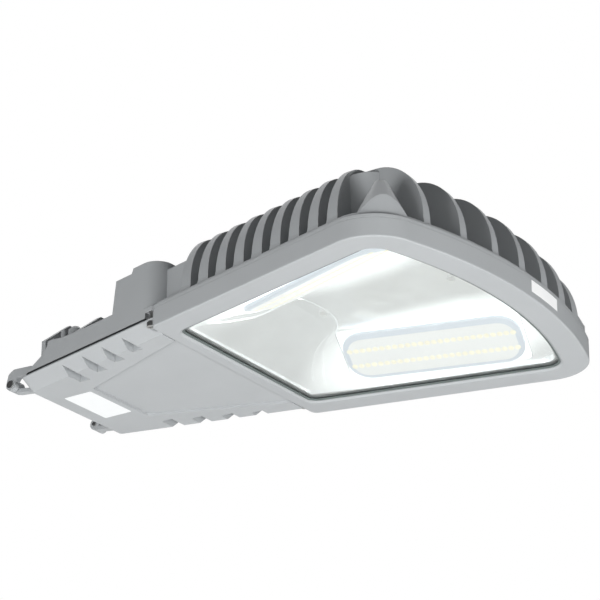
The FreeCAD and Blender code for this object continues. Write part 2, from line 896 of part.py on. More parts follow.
def housing_gasket_groove():
    """Groove in the housing's underside for its seal."""
    groove = opening_prism(inner_wall_inset - housing_gasket_width - groove_play,
                           frame_height - over, frame_height + housing_gasket_height)
    island = opening_prism(inner_wall_inset + groove_play, frame_height - 2 * over, frame_height + 2 * over)
    return groove.cut(island)


def captive_cuts():
    """Recesses and clearance holes for the captive screws in the housing's rim."""
    cuts = []
    for y in (captive_half, -captive_half):
        cuts.append(post(captive_station, y, house_low - over, house_low + captive_recess,
                         captive_notch_radius))
        cuts.append(post(captive_station, y, house_low, deck_level + over, captive_hole_radius))
    return cuts


def driver_pads():
    """Pads under the driver block's roof and their tapped holes."""
    pads = []
    holes = []
    for station, y in driver_screw_places():
        roof = block_low_level if station < block_step else block_top_level
        pads.append(post(station, y, driver_top_level, roof - over, driver_pad_radius))
        holes.append(post(station, y, driver_top_level - over, driver_top_level + driver_hole_depth,
                          fastener_radius))
    return pads, holes


def housing():
    """The one casting that carries everything."""
    parts = lamp_half() + gear_half()
    body = parts[0].multiFuse(parts[1:])
    hollow = gear_hollow().cut(socket_outer() + captive_bosses() + [seal_bar()])
    cuts = [hollow, chamber(chamber_inset, pad_lift, chamber_low - over)]
    cuts.extend(socket_cuts())
    cuts.extend(captive_cuts())
    cuts.extend(frame_screw_cuts())
    cuts.append(housing_gasket_groove())
    pads, holes = driver_pads()
    feet = cable_clamp_feet()
    body = body.cut(cuts).multiFuse(pads + feet)
    holes.extend(cable_clamp_holes())
    holes.extend(board_screw_holes())
    holes.extend(gear_screw_holes())
    holes.extend(bush_seats())
    for station, y in reflector_screw_places():
        holes.append(post(station, y, ceiling_level, ceiling_level + reflector_hole_depth, fastener_radius))
    holes.append(post(earth_station, earth_half, ceiling_of_gear - over,
                      ceiling_of_gear + gear_hole_depth, fastener_radius))
    return body.cut(holes).removeSplitter()


def captive_bosses():
    """Bosses round the captive screws' holes, within the side walls."""
    boss = post(captive_station, captive_half, house_low, deck_level, captive_notch_radius + wall)
    return both(boss.common(gear_rim()))


def seal_bar():
    """Cross bar that the front of the cover gasket presses on."""
    half = side_line(tip_station)
    rear = frame_rear - seal_bar_width
    low = block(rear, cover_front, -half, half, house_low, deck_level)
    high = block(rear, frame_rear + seal_bar_lap, -half, half, frame_height, deck_level)
    return low.fuse(high)


def glass_frame():
    """Cast ring with the chamfered opening that carries the glass."""
    body = rim_prism(0.0, 0.0, frame_height)
    low_edges = [edge for edge in body.Edges if edge.BoundBox.ZMax < over - socket_level]
    body = body.makeFillet(crease_radius, low_edges)
    channel = rim_prism(frame_wall, frame_floor, frame_height + over)
    channel = channel.cut(opening_prism(inner_wall_inset - frame_wall, 0.0, frame_height + 2 * over))
    seat = opening_prism(inner_wall_inset, ledge_level, frame_height + over)
    hole = opening_prism(ledge_inset, -over, ledge_level + over)
    sections = [opening_wire(opening_inset, 0.0), opening_wire(ledge_inset, ledge_level - opening_land)]
    chamfer = Part.makeLoft(sections, True, True)
    body = body.cut([channel, seat, hole, chamfer])
    bosses = []
    holes = []
    for station, y in frame_screw_places():
        boss = post(station, y, 0.0, frame_height, frame_boss_radius)
        bosses.extend(both(boss.common(rim_prism(frame_skin, frame_skin, frame_height))))
        holes.extend(both(post(station, y, frame_screw_low - over, frame_height + over, fastener_radius)))
    return body.multiFuse(bosses).cut(holes).removeSplitter()


def housing_gasket():
    """Flat seal in the housing's groove, on the frame's inner wall."""
    outer = opening_prism(inner_wall_inset - housing_gasket_width, frame_height,
                          frame_height + housing_gasket_height)
    return outer.cut(opening_prism(inner_wall_inset, frame_height - over, frame_height + 2 * over))


def glass_gasket():
    """Rubber channel round the edge of the pane."""
    outer = opening_prism(gasket_outer_inset, ledge_level, chamber_low)
    hole = opening_prism(gasket_inner_inset, ledge_level - over, chamber_low + over)
    slot = opening_prism(glass_inset, glass_low, glass_high)
    return outer.cut([hole, slot])


def glass_pane():
    """Flat toughened pane, held in the rubber channel."""
    return opening_prism(glass_inset, glass_low, glass_high)


def headed_screw(station, y, tip, seat, radius, head_radius, head_height):
    """An upright screw, its tip at one level, its head from the seat away from the tip."""
    shank = post(station, y, min(tip, seat), max(tip, seat), radius)
    low = seat if tip < seat else seat - head_height
    return shank.fuse(post(station, y, low, low + head_height, head_radius))


def frame_screws():
    """Screws that pull the frame up to the housing, heads on the deck and in the corner cones."""
    solids = []
    for station, y in frame_screw_places():
        seat = deck_level
        if (station, y) == corner_boss_place():
            seat = corner_boss_level - corner_head_depth
        screw = headed_screw(station, y, frame_screw_low, seat, fastener_radius,
                             fastener_head_radius, fastener_head_height)
        solids.extend(both(screw))
    return group(solids)


def board_placement():
    """Place and turn of the left board: its own Z runs up, out of the chamber."""
    normal = wall_normal()
    along = FreeCAD.Vector(1, ridge_slope, 0).normalize()
    across = normal.cross(along)
    ridge = point(ridge_station, ridge_half_width, ceiling_level)
    centre = point(board_station, board_half, 0)
    centre.z = ridge.z - (normal.x * (centre.x - ridge.x) + normal.y * (centre.y - ridge.y)) / normal.z
    return FreeCAD.Placement(centre, FreeCAD.Rotation(along, across, normal, "ZXY"))


def on_wall(shape):
    """A shape made in the board's own axes, put on the left side wall."""
    shape.Placement = board_placement().multiply(shape.Placement)
    return shape


def slab(length, width, low, high, radius):
    """A plate with rounded corners in the board's own axes."""
    corners = [
        FreeCAD.Vector(-length / 2, -width / 2, low), FreeCAD.Vector(length / 2, -width / 2, low),
        FreeCAD.Vector(length / 2, width / 2, low), FreeCAD.Vector(-length / 2, width / 2, low),
    ]
    return Part.Face(rounded_wire(corners, [radius] * 4)).extrude(FreeCAD.Vector(0, 0, high - low))


def local_rod(x, y, low, high, radius):
    """A cylinder in the board's own axes."""
    return Part.makeCylinder(radius, high - low, FreeCAD.Vector(x, y, low), FreeCAD.Vector(0, 0, 1))


def led_board():
    """Metal-core board on its pad on the side wall."""
    board = slab(board_length, board_width, board_face, board_top, board_corner)
    holes = [local_rod(x, y, board_face - over, board_top + over, fastener_radius + screw_clearance)
             for x, y in board_screw_places]
    return on_wall(board.cut(holes))


def led_chips():
    """Two rows of LEDs on a board."""
    solids = []
    for row in (-1, 1):
        for index in range(led_count):
            x = (index - (led_count - 1) / 2) * led_pitch
            chip = Part.makeBox(led_size, led_size, led_height, FreeCAD.Vector(
                x - led_size / 2, row * led_row_offset - led_size / 2, board_face - led_height))
            solids.append(chip)
    return on_wall(group(solids))


def led_lens():
    """Clear cover with a raised rim and a rounded bar over each row."""
    top = board_face - lens_gasket_height
    low = top - lens_height
    rim_low = low + lens_rim_height
    body = slab(lens_length, lens_width, rim_low, top, lens_corner)
    raised = slab(lens_length - 2 * lens_flange, lens_width - 2 * lens_flange, low, rim_low,
                  lens_corner - lens_flange)
    bar_length = lens_length - 2 * lens_bar_end
    bars = []
    for row in (-1, 1):
        start = FreeCAD.Vector(-bar_length / 2, row * led_row_offset, low + lens_bar_level)
        bars.append(Part.makeCylinder(lens_bar_radius, bar_length, start, FreeCAD.Vector(1, 0, 0)))
    body = body.multiFuse([raised] + bars)
    body = body.common(slab(lens_length, lens_width, low - lens_height, top, lens_corner))
    rim = lens_flange + lens_pocket_play
    pocket = slab(lens_length - 2 * rim, lens_width - 2 * rim, low + lens_wall, top + over, lens_corner - rim)
    return on_wall(body.cut(pocket).removeSplitter())


def lens_gasket():
    """Flat clear seal between the lens and its board."""
    low = board_face - lens_gasket_height
    outer = slab(lens_length - 2 * lens_pocket_play, lens_width - 2 * lens_pocket_play, low, board_face,
                 lens_corner - lens_pocket_play)
    inner = slab(lens_length - 2 * lens_flange, lens_width - 2 * lens_flange, low - over,
                 board_face + over, lens_corner - lens_flange)
    return on_wall(outer.cut(inner))


def board_screws():
    """Screws that hold the boards to the casting."""
    tip = pad_lift + chamber_wall - board_screw_skin
    solids = []
    for x, y in board_screw_places:
        shank = local_rod(x, y, board_face, tip - tip_play, fastener_radius)
        head = local_rod(x, y, board_face - board_head_height, board_face, fastener_head_radius)
        solids.extend(both(on_wall(shank.fuse(head))))
    return group(solids)


def board_screw_holes():
    """Blind holes for the board screws in the casting."""
    holes = []
    for x, y in board_screw_places:
        holes.extend(both(on_wall(local_rod(x, y, pad_lift - over, pad_lift + chamber_wall - board_screw_skin,
                                            fastener_radius))))
    return holes


def reflector_screw_places():
    """Stations and side positions of the reflector's two screws."""
    return [(rear_ridge_station + reflector_screw_rear, 0.0),
            (front_ridge_station - reflector_screw_front, 0.0)]


def reflector():
    """Tray with flat ceiling, sloping walls and a flange over the glass gasket."""
    outer_inset = chamber_inset + reflector_play
    outer = chamber(outer_inset, reflector_thickness, chamber_low + groove_play)
    inner = chamber(outer_inset + reflector_thickness, 0.0, chamber_low - over)
    gap = board_window_gap
    window = on_wall(slab(board_length + 2 * gap, board_width + 2 * gap, -window_depth, window_depth,
                          board_corner + gap))
    cuts = [inner] + both(window)
    for station, y in reflector_screw_places():
        cuts.append(post(station, y, ceiling_level - over, ceiling_level + reflector_hole_depth,
                         fastener_radius + screw_clearance))
    return outer.cut(cuts).removeSplitter()


def reflector_screws():
    """Two screws through the reflector's ceiling."""
    solids = []
    for station, y in reflector_screw_places():
        solids.append(headed_screw(station, y, ceiling_level + reflector_hole_depth - tip_play, ceiling_level,
                                   fastener_radius, fastener_head_radius, reflector_head_height))
    return group(solids)


def clamp_saddle():
    """Curved bar that presses the spigot up against the socket."""
    s0 = clamp_station - saddle_width / 2
    s1 = clamp_station + saddle_width / 2
    radius = spigot_bore_radius + saddle_gap
    reach = clamp_half + saddle_ear
    ear_low = saddle_ear_level - saddle_thickness
    outer = long_rod(s0, s1, 0, socket_level, radius + saddle_thickness)
    ears = block(s0, s1, -reach, reach, ear_low, saddle_ear_level)
    body = outer.common(block(s0, s1, -reach, reach, 0, saddle_ear_level)).fuse(ears)
    cuts = [long_rod(s0 - over, s1 + over, 0, socket_level, radius)]
    cuts.extend(both(post(clamp_station, clamp_half, ear_low - over, saddle_ear_level + over,
                          clamp_bolt_radius + clamp_hole_play)))
    return body.cut(cuts).removeSplitter()


def clamp_washers():
    """Washers under the heads of the clamp bolts."""
    low = clamp_seat_level
    ring = post(clamp_station, clamp_half, low, low + washer_height, clamp_washer_radius)
    hole = post(clamp_station, clamp_half, low - over, low + washer_height + over,
                clamp_bolt_radius + head_clearance)
    return group(both(ring.cut(hole)))


def clamp_bolts():
    """Two hexagon bolts that draw the saddle up."""
    shank = post(clamp_station, clamp_half, clamp_seat_level, clamp_boss_level - clamp_bolt_drop,
                 clamp_bolt_radius)
    centre = point(clamp_station, clamp_half, clamp_seat_level - clamp_head_height)
    corners = []
    for step in range(6):
        angle = math.radians(60 * step)
        corners.append(centre + FreeCAD.Vector(math.cos(angle), math.sin(angle), 0) * clamp_head_radius)
    head = prism(Part.makePolygon(corners + corners[:1]), clamp_head_height)
    return group(both(shank.fuse(head)))


def led_driver():
    """Metal-cased driver with end tabs, screwed up to its pads."""
    low = driver_top_level - driver_height
    s0 = driver_station
    s1 = driver_station + driver_width
    half = driver_length / 2
    body = block(s0, s1, -half, half, low, driver_top_level)
    tabs = block(s0 + driver_tab_inset, s1 - driver_tab_inset, -half - driver_tab, half + driver_tab,
                 driver_top_level - driver_tab_thickness, driver_top_level)
    holes = [post(station, y, low, driver_top_level + over, fastener_radius + screw_clearance)
             for station, y in driver_screw_places()]
    return body.fuse(tabs).cut(holes).removeSplitter()


def driver_screws():
    """Screws through the driver's tabs into its pads."""
    seat = driver_top_level - driver_tab_thickness
    tip = driver_top_level + driver_screw_depth
    solids = []
    for station, y in driver_screw_places():
        solids.append(headed_screw(station, y, tip, seat, fastener_radius,
                                   fastener_head_radius, fastener_head_height))
    return group(solids)


def gear_foot(near, width):
    """Mounting foot of a brick under the roof, past both of its ends."""
    return block(terminal_station + gear_foot_inset, terminal_station + gear_part_length - gear_foot_inset,
                 near - gear_foot_reach, near + width + gear_foot_reach,
                 ceiling_of_gear - gear_foot_height, ceiling_of_gear)


def terminal_block():
    """Three-pole terminal block on the roof of the gear compartment."""
    low = ceiling_of_gear - terminal_height
    body = block(terminal_station, terminal_station + gear_part_length,
                 terminal_half, terminal_half + terminal_width, low, ceiling_of_gear)
    pole = terminal_width / terminal_poles
    wells = []
    for index in range(terminal_poles):
        y = terminal_half + (index + 0.5) * pole
        for station in (terminal_station + terminal_well_rear, terminal_station + terminal_well_front):
            wells.append(post(station, y, low - over, low + terminal_well_depth, terminal_well_radius))
    body = body.fuse(gear_foot(terminal_half, terminal_width))
    return body.cut(wells + gear_screw_holes()).removeSplitter()


def surge_protector():
    """Surge protector brick beside the terminal block."""
    body = block(terminal_station, terminal_station + gear_part_length, surge_half, surge_half + surge_width,
                 ceiling_of_gear - surge_height, ceiling_of_gear)
    return body.fuse(gear_foot(surge_half, surge_width)).cut(gear_screw_holes()).removeSplitter()


def gear_screw_places():
    """Stations and side positions of the screws through the two bricks' feet."""
    middle = terminal_station + gear_part_length / 2
    return [
        (middle, terminal_half - gear_screw_reach),
        (middle, terminal_half + terminal_width + gear_screw_reach),
        (middle, surge_half - gear_screw_reach),
        (middle, surge_half + surge_width + gear_screw_reach),
    ]


def gear_screw_holes():
    """Holes through the feet and on into the roof."""
    return [post(station, y, ceiling_of_gear - gear_foot_height - over, ceiling_of_gear + gear_hole_depth,
                 gear_screw_radius) for station, y in gear_screw_places()]


def gear_screws():
    """Screws through the feet of the terminal block and the surge protector."""
    tip = ceiling_of_gear + gear_hole_depth - hole_end_play
    seat = ceiling_of_gear - gear_foot_height
    return group([headed_screw(station, y, tip, seat, gear_screw_radius, gear_head_radius, gear_head_height)
                  for station, y in gear_screw_places()])


def cable_clamp_feet():
    """Two cast feet that the cable clamp is screwed to, under the roof."""
    return both(post(cable_clamp_station, cable_clamp_half, ceiling_of_gear - cable_clamp_drop,
                     roof_level - over, cable_clamp_foot_radius))


def cable_clamp_holes():
    """Tapped holes in the cable clamp's feet."""
    top = ceiling_of_gear - cable_clamp_drop
    return both(post(cable_clamp_station, cable_clamp_half, top - over, top + cable_clamp_hole_depth,
                     fastener_radius))


def cable_clamp():
    """Bar that grips the supply cable."""
    top = ceiling_of_gear - cable_clamp_drop
    half = cable_clamp_width / 2
    reach = cable_clamp_half + cable_clamp_ear
    s0 = cable_clamp_station - half
    s1 = cable_clamp_station + half
    bar = block(s0, s1, -reach, reach, top - cable_clamp_height, top)
    notch = long_rod(s0 - over, s1 + over, 0, top + cable_notch_level, cable_notch_radius)
    holes = both(post(cable_clamp_station, cable_clamp_half, top - cable_clamp_height - over, top + over,
                      fastener_radius + screw_clearance))
    return bar.cut([notch] + holes)


def cable_clamp_screws():
    """Screws of the cable clamp."""
    top = ceiling_of_gear - cable_clamp_drop
    screw = headed_screw(cable_clamp_station, cable_clamp_half, top + cable_clamp_hole_depth - hole_end_play,
                         top - cable_clamp_height, fastener_radius, fastener_head_radius,
                         cable_clamp_head_height)
    return group(both(screw))


def cable_grommet():
    """Rubber bush in the end wall of the socket."""
    end = socket_station + socket_length
    front = end + socket_wall + cable_bush_end
    body = long_rod(end, front, 0, cable_hole_level, cable_hole_radius)
    hole = long_rod(end - over, front + over, 0, cable_hole_level, cable_hole_radius - cable_bush_wall)
    return body.cut(hole)


def wall_bush(y, flange_radius, neck_radius):
    """A flanged plug seated in the wall between the gear compartment and the lamp chamber."""
    flange = long_rod(bush_station - bush_flange, bush_station, y, wire_hole_level, flange_radius)
    neck = long_rod(bush_station, bush_station + bush_seat_depth, y, wire_hole_level, neck_radius)
    return flange.fuse(neck)


def wire_grommet():
    """Rubber bush for the board wires in the wall to the lamp chamber."""
    bush = wall_bush(wire_hole_half, wire_bush_radius, wire_hole_radius)
    hole = long_rod(bush_station - bush_flange - over, bush_station + bush_seat_depth + over,
                    wire_hole_half, wire_hole_level, wire_bush_hole)
    return bush.cut(hole).removeSplitter()


def vent_plug():
    """Breather in the wall to the lamp chamber."""
    return wall_bush(-wire_hole_half, vent_radius, vent_stem_radius).removeSplitter()


def bush_seats():
    """Blind seats for the wire grommet and the vent plug."""
    s0 = bush_station - over
    s1 = bush_station + bush_seat_depth + hole_end_play / 2
    return [long_rod(s0, s1, wire_hole_half, wire_hole_level, wire_hole_radius),
            long_rod(s0, s1, -wire_hole_half, wire_hole_level, vent_stem_radius)]


def earth_screw():
    """Earth screw in the roof of the gear compartment, with room for its wire under the head."""
    return headed_screw(earth_station, earth_half, ceiling_of_gear + gear_hole_depth - hole_end_play,
                        ceiling_of_gear - earth_stand, fastener_radius, fastener_head_radius,
                        earth_head_height).removeSplitter()


def hinge_pins():
    """Two headed pins, driven into the housing's lugs."""
    pin = cross_rod(0, hinge_level, knuckle_inner - pin_inner_end, lug_outer, hinge_pin_radius)
    head = cross_rod(0, hinge_level, lug_outer, lug_outer + pin_head_height,
                     hinge_pin_radius + pin_head_height)
    return group(both(pin.fuse(head).removeSplitter()))


def cover_wire(inset, rear_shift, level):
    """Plan of the gear cover at a level, moved in from the side line and the rear."""
    radius = max(cover_corner_radius - inset, cover_least_corner)
    return rear_wire(inset, cover_rear + rear_shift, cover_front, radius, cover_front_corner, level)


def groove_tool(index, growth):
    """One wedge groove, a steep wall that faces forward and a ramp, or its lining when grown."""
    low = -over if growth == 0 else over
    station = groove_first_station + index * groove_pitch
    inner = groove_first_half + groove_spread * index * groove_pitch - growth
    outer = side_line(station) + groove_overrun
    depth = groove_depth + growth
    corners = [
        point(station - growth, inner, low),
        point(station - growth, inner, depth),
        point(station + growth / 2, inner, depth),
        point(station + groove_run + 2 * growth, inner, low),
    ]
    face = Part.Face(Part.makePolygon(corners + corners[:1]))
    return face.extrude(FreeCAD.Vector(0, outer - inner, 0))


def groove_tools(growth):
    """All the grooves on both sides of the cover."""
    tools = []
    for index in range(groove_count):
        tools.extend(both(groove_tool(index, growth)))
    return tools


def panel_solid(low, high, grow):
    """The trapezoid in the middle of the cover, which widens to the front."""
    front = cover_front + over
    corners = [
        point(panel_rear - grow, panel_rear_half + grow, low),
        point(front, panel_front_half + grow, low),
        point(front, -panel_front_half - grow, low),
        point(panel_rear - grow, -panel_rear_half - grow, low),
    ]
    return prism(rounded_wire(corners, [panel_corner, 0, 0, panel_corner]), high - low)


def knuckle():
    """Cover's half of a hinge: barrel and the arm that joins it to the rear edge."""
    barrel = cross_rod(0, hinge_level, knuckle_inner, knuckle_outer, barrel_radius)
    corners = [
        (-arm_rear, arm_rear_level, 0.0),
        (arm_toe, arm_toe_level, arm_toe_radius),
        (arm_bend, arm_bend_level, arm_bend_radius),
        (cover_rear + arm_lap, arm_low_level, 0.0),
        (cover_rear + arm_lap, arm_high_level, 0.0),
        (cover_rear - arm_heel, arm_heel_level, arm_toe_radius),
        (arm_throat, arm_throat_level, 0.0),
    ]
    arm = side_arm(corners, knuckle_inner, knuckle_outer)
    bore = cross_rod(0, hinge_level, knuckle_inner - over, knuckle_outer + over,
                     hinge_pin_radius + hinge_clearance)
    return barrel.fuse(arm).cut(bore)


def cover_hollow():
    """Inside of the cover, less the linings of its panel and grooves and its solid front corners."""
    wire = cover_wire(cover_inset + cover_bevel + cover_wall - over, cover_rear_bevel + cover_wall,
                      cover_wall)
    hollow = prism(wire, seam_level)
    half = side_line(tip_station)
    hollow = hollow.common(block(0, cover_front - cover_wall, -half, half, 0, block_top_level))
    seat = block(captive_station - captive_seat_rear, cover_front + over,
                 captive_half - captive_seat_side, half, 0, seam_level)
    linings = [panel_solid(panel_lining_low, panel_depth + cover_wall, cover_wall)]
    linings.extend(groove_tools(groove_lining))
    linings.extend(both(seat))
    return hollow.cut(linings)


def gear_cover():
    """Shallow cast cover with a bevelled edge, recessed panel, grooves and hinge knuckles."""
    low = cover_wire(cover_inset + cover_bevel, cover_rear_bevel, 0.0)
    high = cover_wire(cover_inset, 0.0, seam_level - cover_land)
    body = Part.makeLoft([low, high], True, True)
    body = body.fuse(prism(high, cover_land)).cut(cover_hollow())
    half = side_line(tip_station)
    notch = post(captive_station, captive_half, -over, captive_ear_level, captive_notch_radius)
    mouth = block(captive_station - captive_notch_radius, captive_station + captive_notch_radius,
                  captive_half, half, -over, captive_ear_level)
    hole = post(captive_station, captive_half, 0, seam_level + over, captive_hole_radius)
    cuts = [panel_solid(-over, panel_depth, 0.0)]
    cuts.extend(groove_tools(0.0))
    cuts.extend(both(notch.fuse(mouth)))
    cuts.extend(both(hole))
    return body.cut(cuts).multiFuse(both(knuckle())).removeSplitter()


def cover_gasket():
    """Black seal on the rim of the cover."""
    inner_inset = cover_inset + wall
    outer = prism(rear_wire(cover_inset + groove_play, rear_foot_station + groove_play,
                            cover_front - 2 * groove_play, cover_corner_radius - cover_inset - groove_play,
                            cover_least_corner, seam_level), cover_gasket_height)
    inner = prism(rear_wire(inner_inset, rear_foot_station + wall, cover_front - cover_gasket_front,
                            cover_corner_radius - inner_inset, cover_least_corner, seam_level - over),
                  cover_gasket_height + 2 * over)
    high = seam_level + cover_gasket_height + over
    hole = post(captive_station, captive_half, seam_level - over, high, captive_notch_radius + head_clearance)
    ring = post(captive_station, captive_half, seam_level - over, high,
                captive_notch_radius + wall - groove_play)
    return outer.cut(inner.cut(both(ring))).cut(both(hole))


def captive_screws():
    """Slotted screws that hold the cover shut."""
    low = captive_ear_level - captive_head_height
    head = post(captive_station, captive_half, low, captive_ear_level, captive_head_radius)
    slot = block(captive_station - captive_notch_radius, captive_station + captive_notch_radius,
                 captive_half - captive_slot_width / 2, captive_half + captive_slot_width / 2,
                 low - over, low + captive_slot_depth)
    shank = post(captive_station, captive_half, captive_ear_level, deck_level, captive_shank_radius)
    return group(both(head.cut(slot).fuse(shank)))


def screw_washers():
    """Clips on the captive screws, above the cover's ears."""
    high = seam_level + captive_clip_height
    ring = post(captive_station, captive_half, seam_level, high, captive_clip_radius)
    hole = post(captive_station, captive_half, seam_level - over, high + over, captive_shank_radius)
    return group(both(ring.cut(hole)))


def main():
    """Builds every node and writes it to its file."""
    os.makedirs("parts", exist_ok=True)
    nodes = {
        "housing": housing(),
        "glass_frame": glass_frame(),
        "housing_gasket": housing_gasket(),
        "glass_gasket": glass_gasket(),
        "glass_pane": glass_pane(),
        "frame_screws": frame_screws(),
        "reflector": reflector(),
        "reflector_screws": reflector_screws(),
        "led_board_left": led_board(),
        "led_board_right": mirrored(led_board()),
        "led_chips_left": led_chips(),
        "led_chips_right": mirrored(led_chips()),
        "led_lens_left": led_lens(),
        "led_lens_right": mirrored(led_lens()),
        "lens_gasket_left": lens_gasket(),
        "lens_gasket_right": mirrored(lens_gasket()),
        "board_screws": board_screws(),
        "clamp_saddle": clamp_saddle(),
        "clamp_washers": clamp_washers(),
        "clamp_bolts": clamp_bolts(),
        "led_driver": led_driver(),
        "driver_screws": driver_screws(),
        "terminal_block": terminal_block(),
        "surge_protector": surge_protector(),
        "gear_screws": gear_screws(),
        "cable_clamp": cable_clamp(),
        "cable_clamp_screws": cable_clamp_screws(),
        "cable_grommet": cable_grommet(),
        "wire_grommet": wire_grommet(),
        "earth_screw": earth_screw(),
        "vent_plug": vent_plug(),
        "hinge_pins": hinge_pins(),
        "gear_cover": gear_cover(),
        "cover_gasket": cover_gasket(),
        "captive_screws": captive_screws(),
        "screw_washers": screw_washers(),
    }
    for name, shape in nodes.items():
        solids = len(shape.Solids)
        print(name, "solids", solids, "valid", shape.isValid(), "volume", round(shape.Volume))
        shape.exportStep("parts/" + name + ".step")


main()
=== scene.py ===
"""Finish and setting of the LED street light head, laid out as a Blender add-on."""
import math

import bmesh
import bpy
from bpy.props import FloatProperty, FloatVectorProperty, PointerProperty
from mathutils import Matrix, Vector


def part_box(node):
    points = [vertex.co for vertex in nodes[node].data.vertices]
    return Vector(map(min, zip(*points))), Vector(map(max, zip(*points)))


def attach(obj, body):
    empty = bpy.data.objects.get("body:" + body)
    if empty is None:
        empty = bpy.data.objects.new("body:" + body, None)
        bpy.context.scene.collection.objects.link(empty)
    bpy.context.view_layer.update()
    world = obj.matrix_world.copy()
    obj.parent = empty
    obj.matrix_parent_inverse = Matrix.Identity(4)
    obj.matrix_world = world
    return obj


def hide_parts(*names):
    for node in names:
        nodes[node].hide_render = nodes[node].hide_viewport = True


bl_info = {
    "name": "Street light finish",
    "version": (1, 0, 0),
    "blender": (4, 5, 0),
    "location": "View3D > Sidebar > Street light",
    "description": "Materials, small pieces and stage for the LED street light head",
    "category": "Object",
}

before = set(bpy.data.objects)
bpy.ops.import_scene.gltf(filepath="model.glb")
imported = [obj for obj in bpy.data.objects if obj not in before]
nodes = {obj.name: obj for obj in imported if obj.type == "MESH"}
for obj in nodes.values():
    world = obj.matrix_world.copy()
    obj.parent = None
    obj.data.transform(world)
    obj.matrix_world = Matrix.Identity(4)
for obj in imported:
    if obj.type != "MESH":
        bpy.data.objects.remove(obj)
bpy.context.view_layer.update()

MM = 0.001
LAMP_BODY = "lamp"
COVER_BODY = "cover"
FRONT_RADIUS = 460 * MM  # of the frame's bowed front, about an upright axis

# Reach of the glow painted on the reflector as emission round the LED modules: its middle on the far side,
# and its half sizes
PAINTED_GLOW_MIDDLE = (334 * MM, 94 * MM, -20 * MM)
PAINTED_GLOW_HALF = (100 * MM, 44 * MM, 200 * MM)

# Beads pressed in the reflector's end, each as places from above, in mm: two on the far side, which are
# mirrored to the near side, and one across the ceiling
CORNER_BEADS = (
    ((261, 42), (250, 46.5), (240, 54), (230, 68), (221, 80), (215, 93)),
    ((261, 38), (245, 43), (235.5, 48), (227.5, 56), (217, 68), (208, 82)),
)
CEILING_BEAD = ((272, -42), (277, -30), (279, 0), (277, 14), (270, 30), (261, 40))

FLOOR_DROP = 1.5
FLOOR_SIDE = 14.0
LAMP_TARGET = (0.25, 0, 0)

# The photograph's camera, fitted to the lamp's outline
AZIMUTH = math.radians(34.97)
ELEVATION = math.radians(-23.2)
ROLL = math.radians(0.38)
CAMERA_DISTANCE = 2268.6 * MM
CAMERA_TARGET = Vector((255.5 * MM, 0, -15.6 * MM))
SENSOR_WIDTH = 36.0
LENS = 150.0
PHOTO_SIDE = 600
AXIS_PIXEL = (305.14, 324.56)


def linear(code):
    """A linear colour from an sRGB hex value such as #B4B6B6."""
    parts = [int(code[i:i + 2], 16) / 255 for i in (1, 3, 5)]
    return [p / 12.92 if p <= 0.04045 else ((p + 0.055) / 1.055) ** 2.4 for p in parts] + [1.0]


class StreetLightSizes(bpy.types.PropertyGroup):
    """Sizes of the pieces that are added to the lamp."""

    plate_length: FloatProperty(
        name="Plate length", description="Long side of the bare plate on the gear cover, across the lamp",
        default=62 * MM, unit="LENGTH")
    plate_width: FloatProperty(
        name="Plate width", description="Short side of the bare plate on the gear cover",
        default=32 * MM, unit="LENGTH")
    plate_place: FloatProperty(
        name="Plate place", description="Middle of the plate in front of the hinge axis",
        default=56 * MM, unit="LENGTH")
    plate_shift: FloatProperty(
        name="Plate shift", description="Middle of the plate to the near side of the lamp's middle",
        default=7 * MM, unit="LENGTH")
    plate_corner: FloatProperty(
        name="Plate corner", description="Corner radius of the plate", default=1.5 * MM, unit="LENGTH")
    sticker_start: FloatProperty(
        name="Sticker start", description="Start of the bare sticker on the frame's front, from the middle",
        default=5 * MM, unit="LENGTH")
    sticker_length: FloatProperty(
        name="Sticker length", description="Long side of the same sticker", default=50 * MM, unit="LENGTH")
    sticker_height: FloatProperty(
        name="Sticker height", description="Short side of the same sticker", default=11 * MM, unit="LENGTH")
    sticker_level: FloatProperty(
        name="Sticker level", description="Lower edge of the sticker above the frame's lower face",
        default=6.2 * MM, unit="LENGTH")
    film: FloatProperty(
        name="Film", description="Thickness of the plate and the sticker",
        default=0.05 * MM, unit="LENGTH")
    cover_length: FloatProperty(
        name="Lens cover length", description="Long side of a lens cover", default=169 * MM, unit="LENGTH")
    cover_width: FloatProperty(
        name="Lens cover width", description="Short side of a lens cover",
        default=57 * MM, unit="LENGTH")
    cover_corner: FloatProperty(
        name="Lens cover corner", description="Corner radius of a lens cover", default=21 * MM, unit="LENGTH")
    cover_depth: FloatProperty(
        name="Lens cover depth", description="Face of a lens cover below the middle of its LEDs",
        default=5 * MM, unit="LENGTH")
    cover_rim: FloatProperty(
        name="Lens cover rim", description="Width of the sloped rim of a lens cover",
        default=5.5 * MM, unit="LENGTH")
    bead_radius: FloatProperty(
        name="Bead radius", description="Radius of the beads pressed in the reflector's end",
        default=1.0 * MM, unit="LENGTH")
    dome_radius: FloatProperty(
        name="Dome radius", description="Radius of a lens dome over an LED",
        default=2.85 * MM, unit="LENGTH")
    dome_height: FloatProperty(
        name="Dome height", description="Height of a lens dome over the cover's face",
        default=0.9 * MM, unit="LENGTH")


def colour_property(name, description, code):
    """A colour setting with its default from an sRGB hex value."""
    return FloatVectorProperty(name=name, description=description, default=linear(code)[:3],
                               subtype="COLOR", size=3, min=0, max=1)


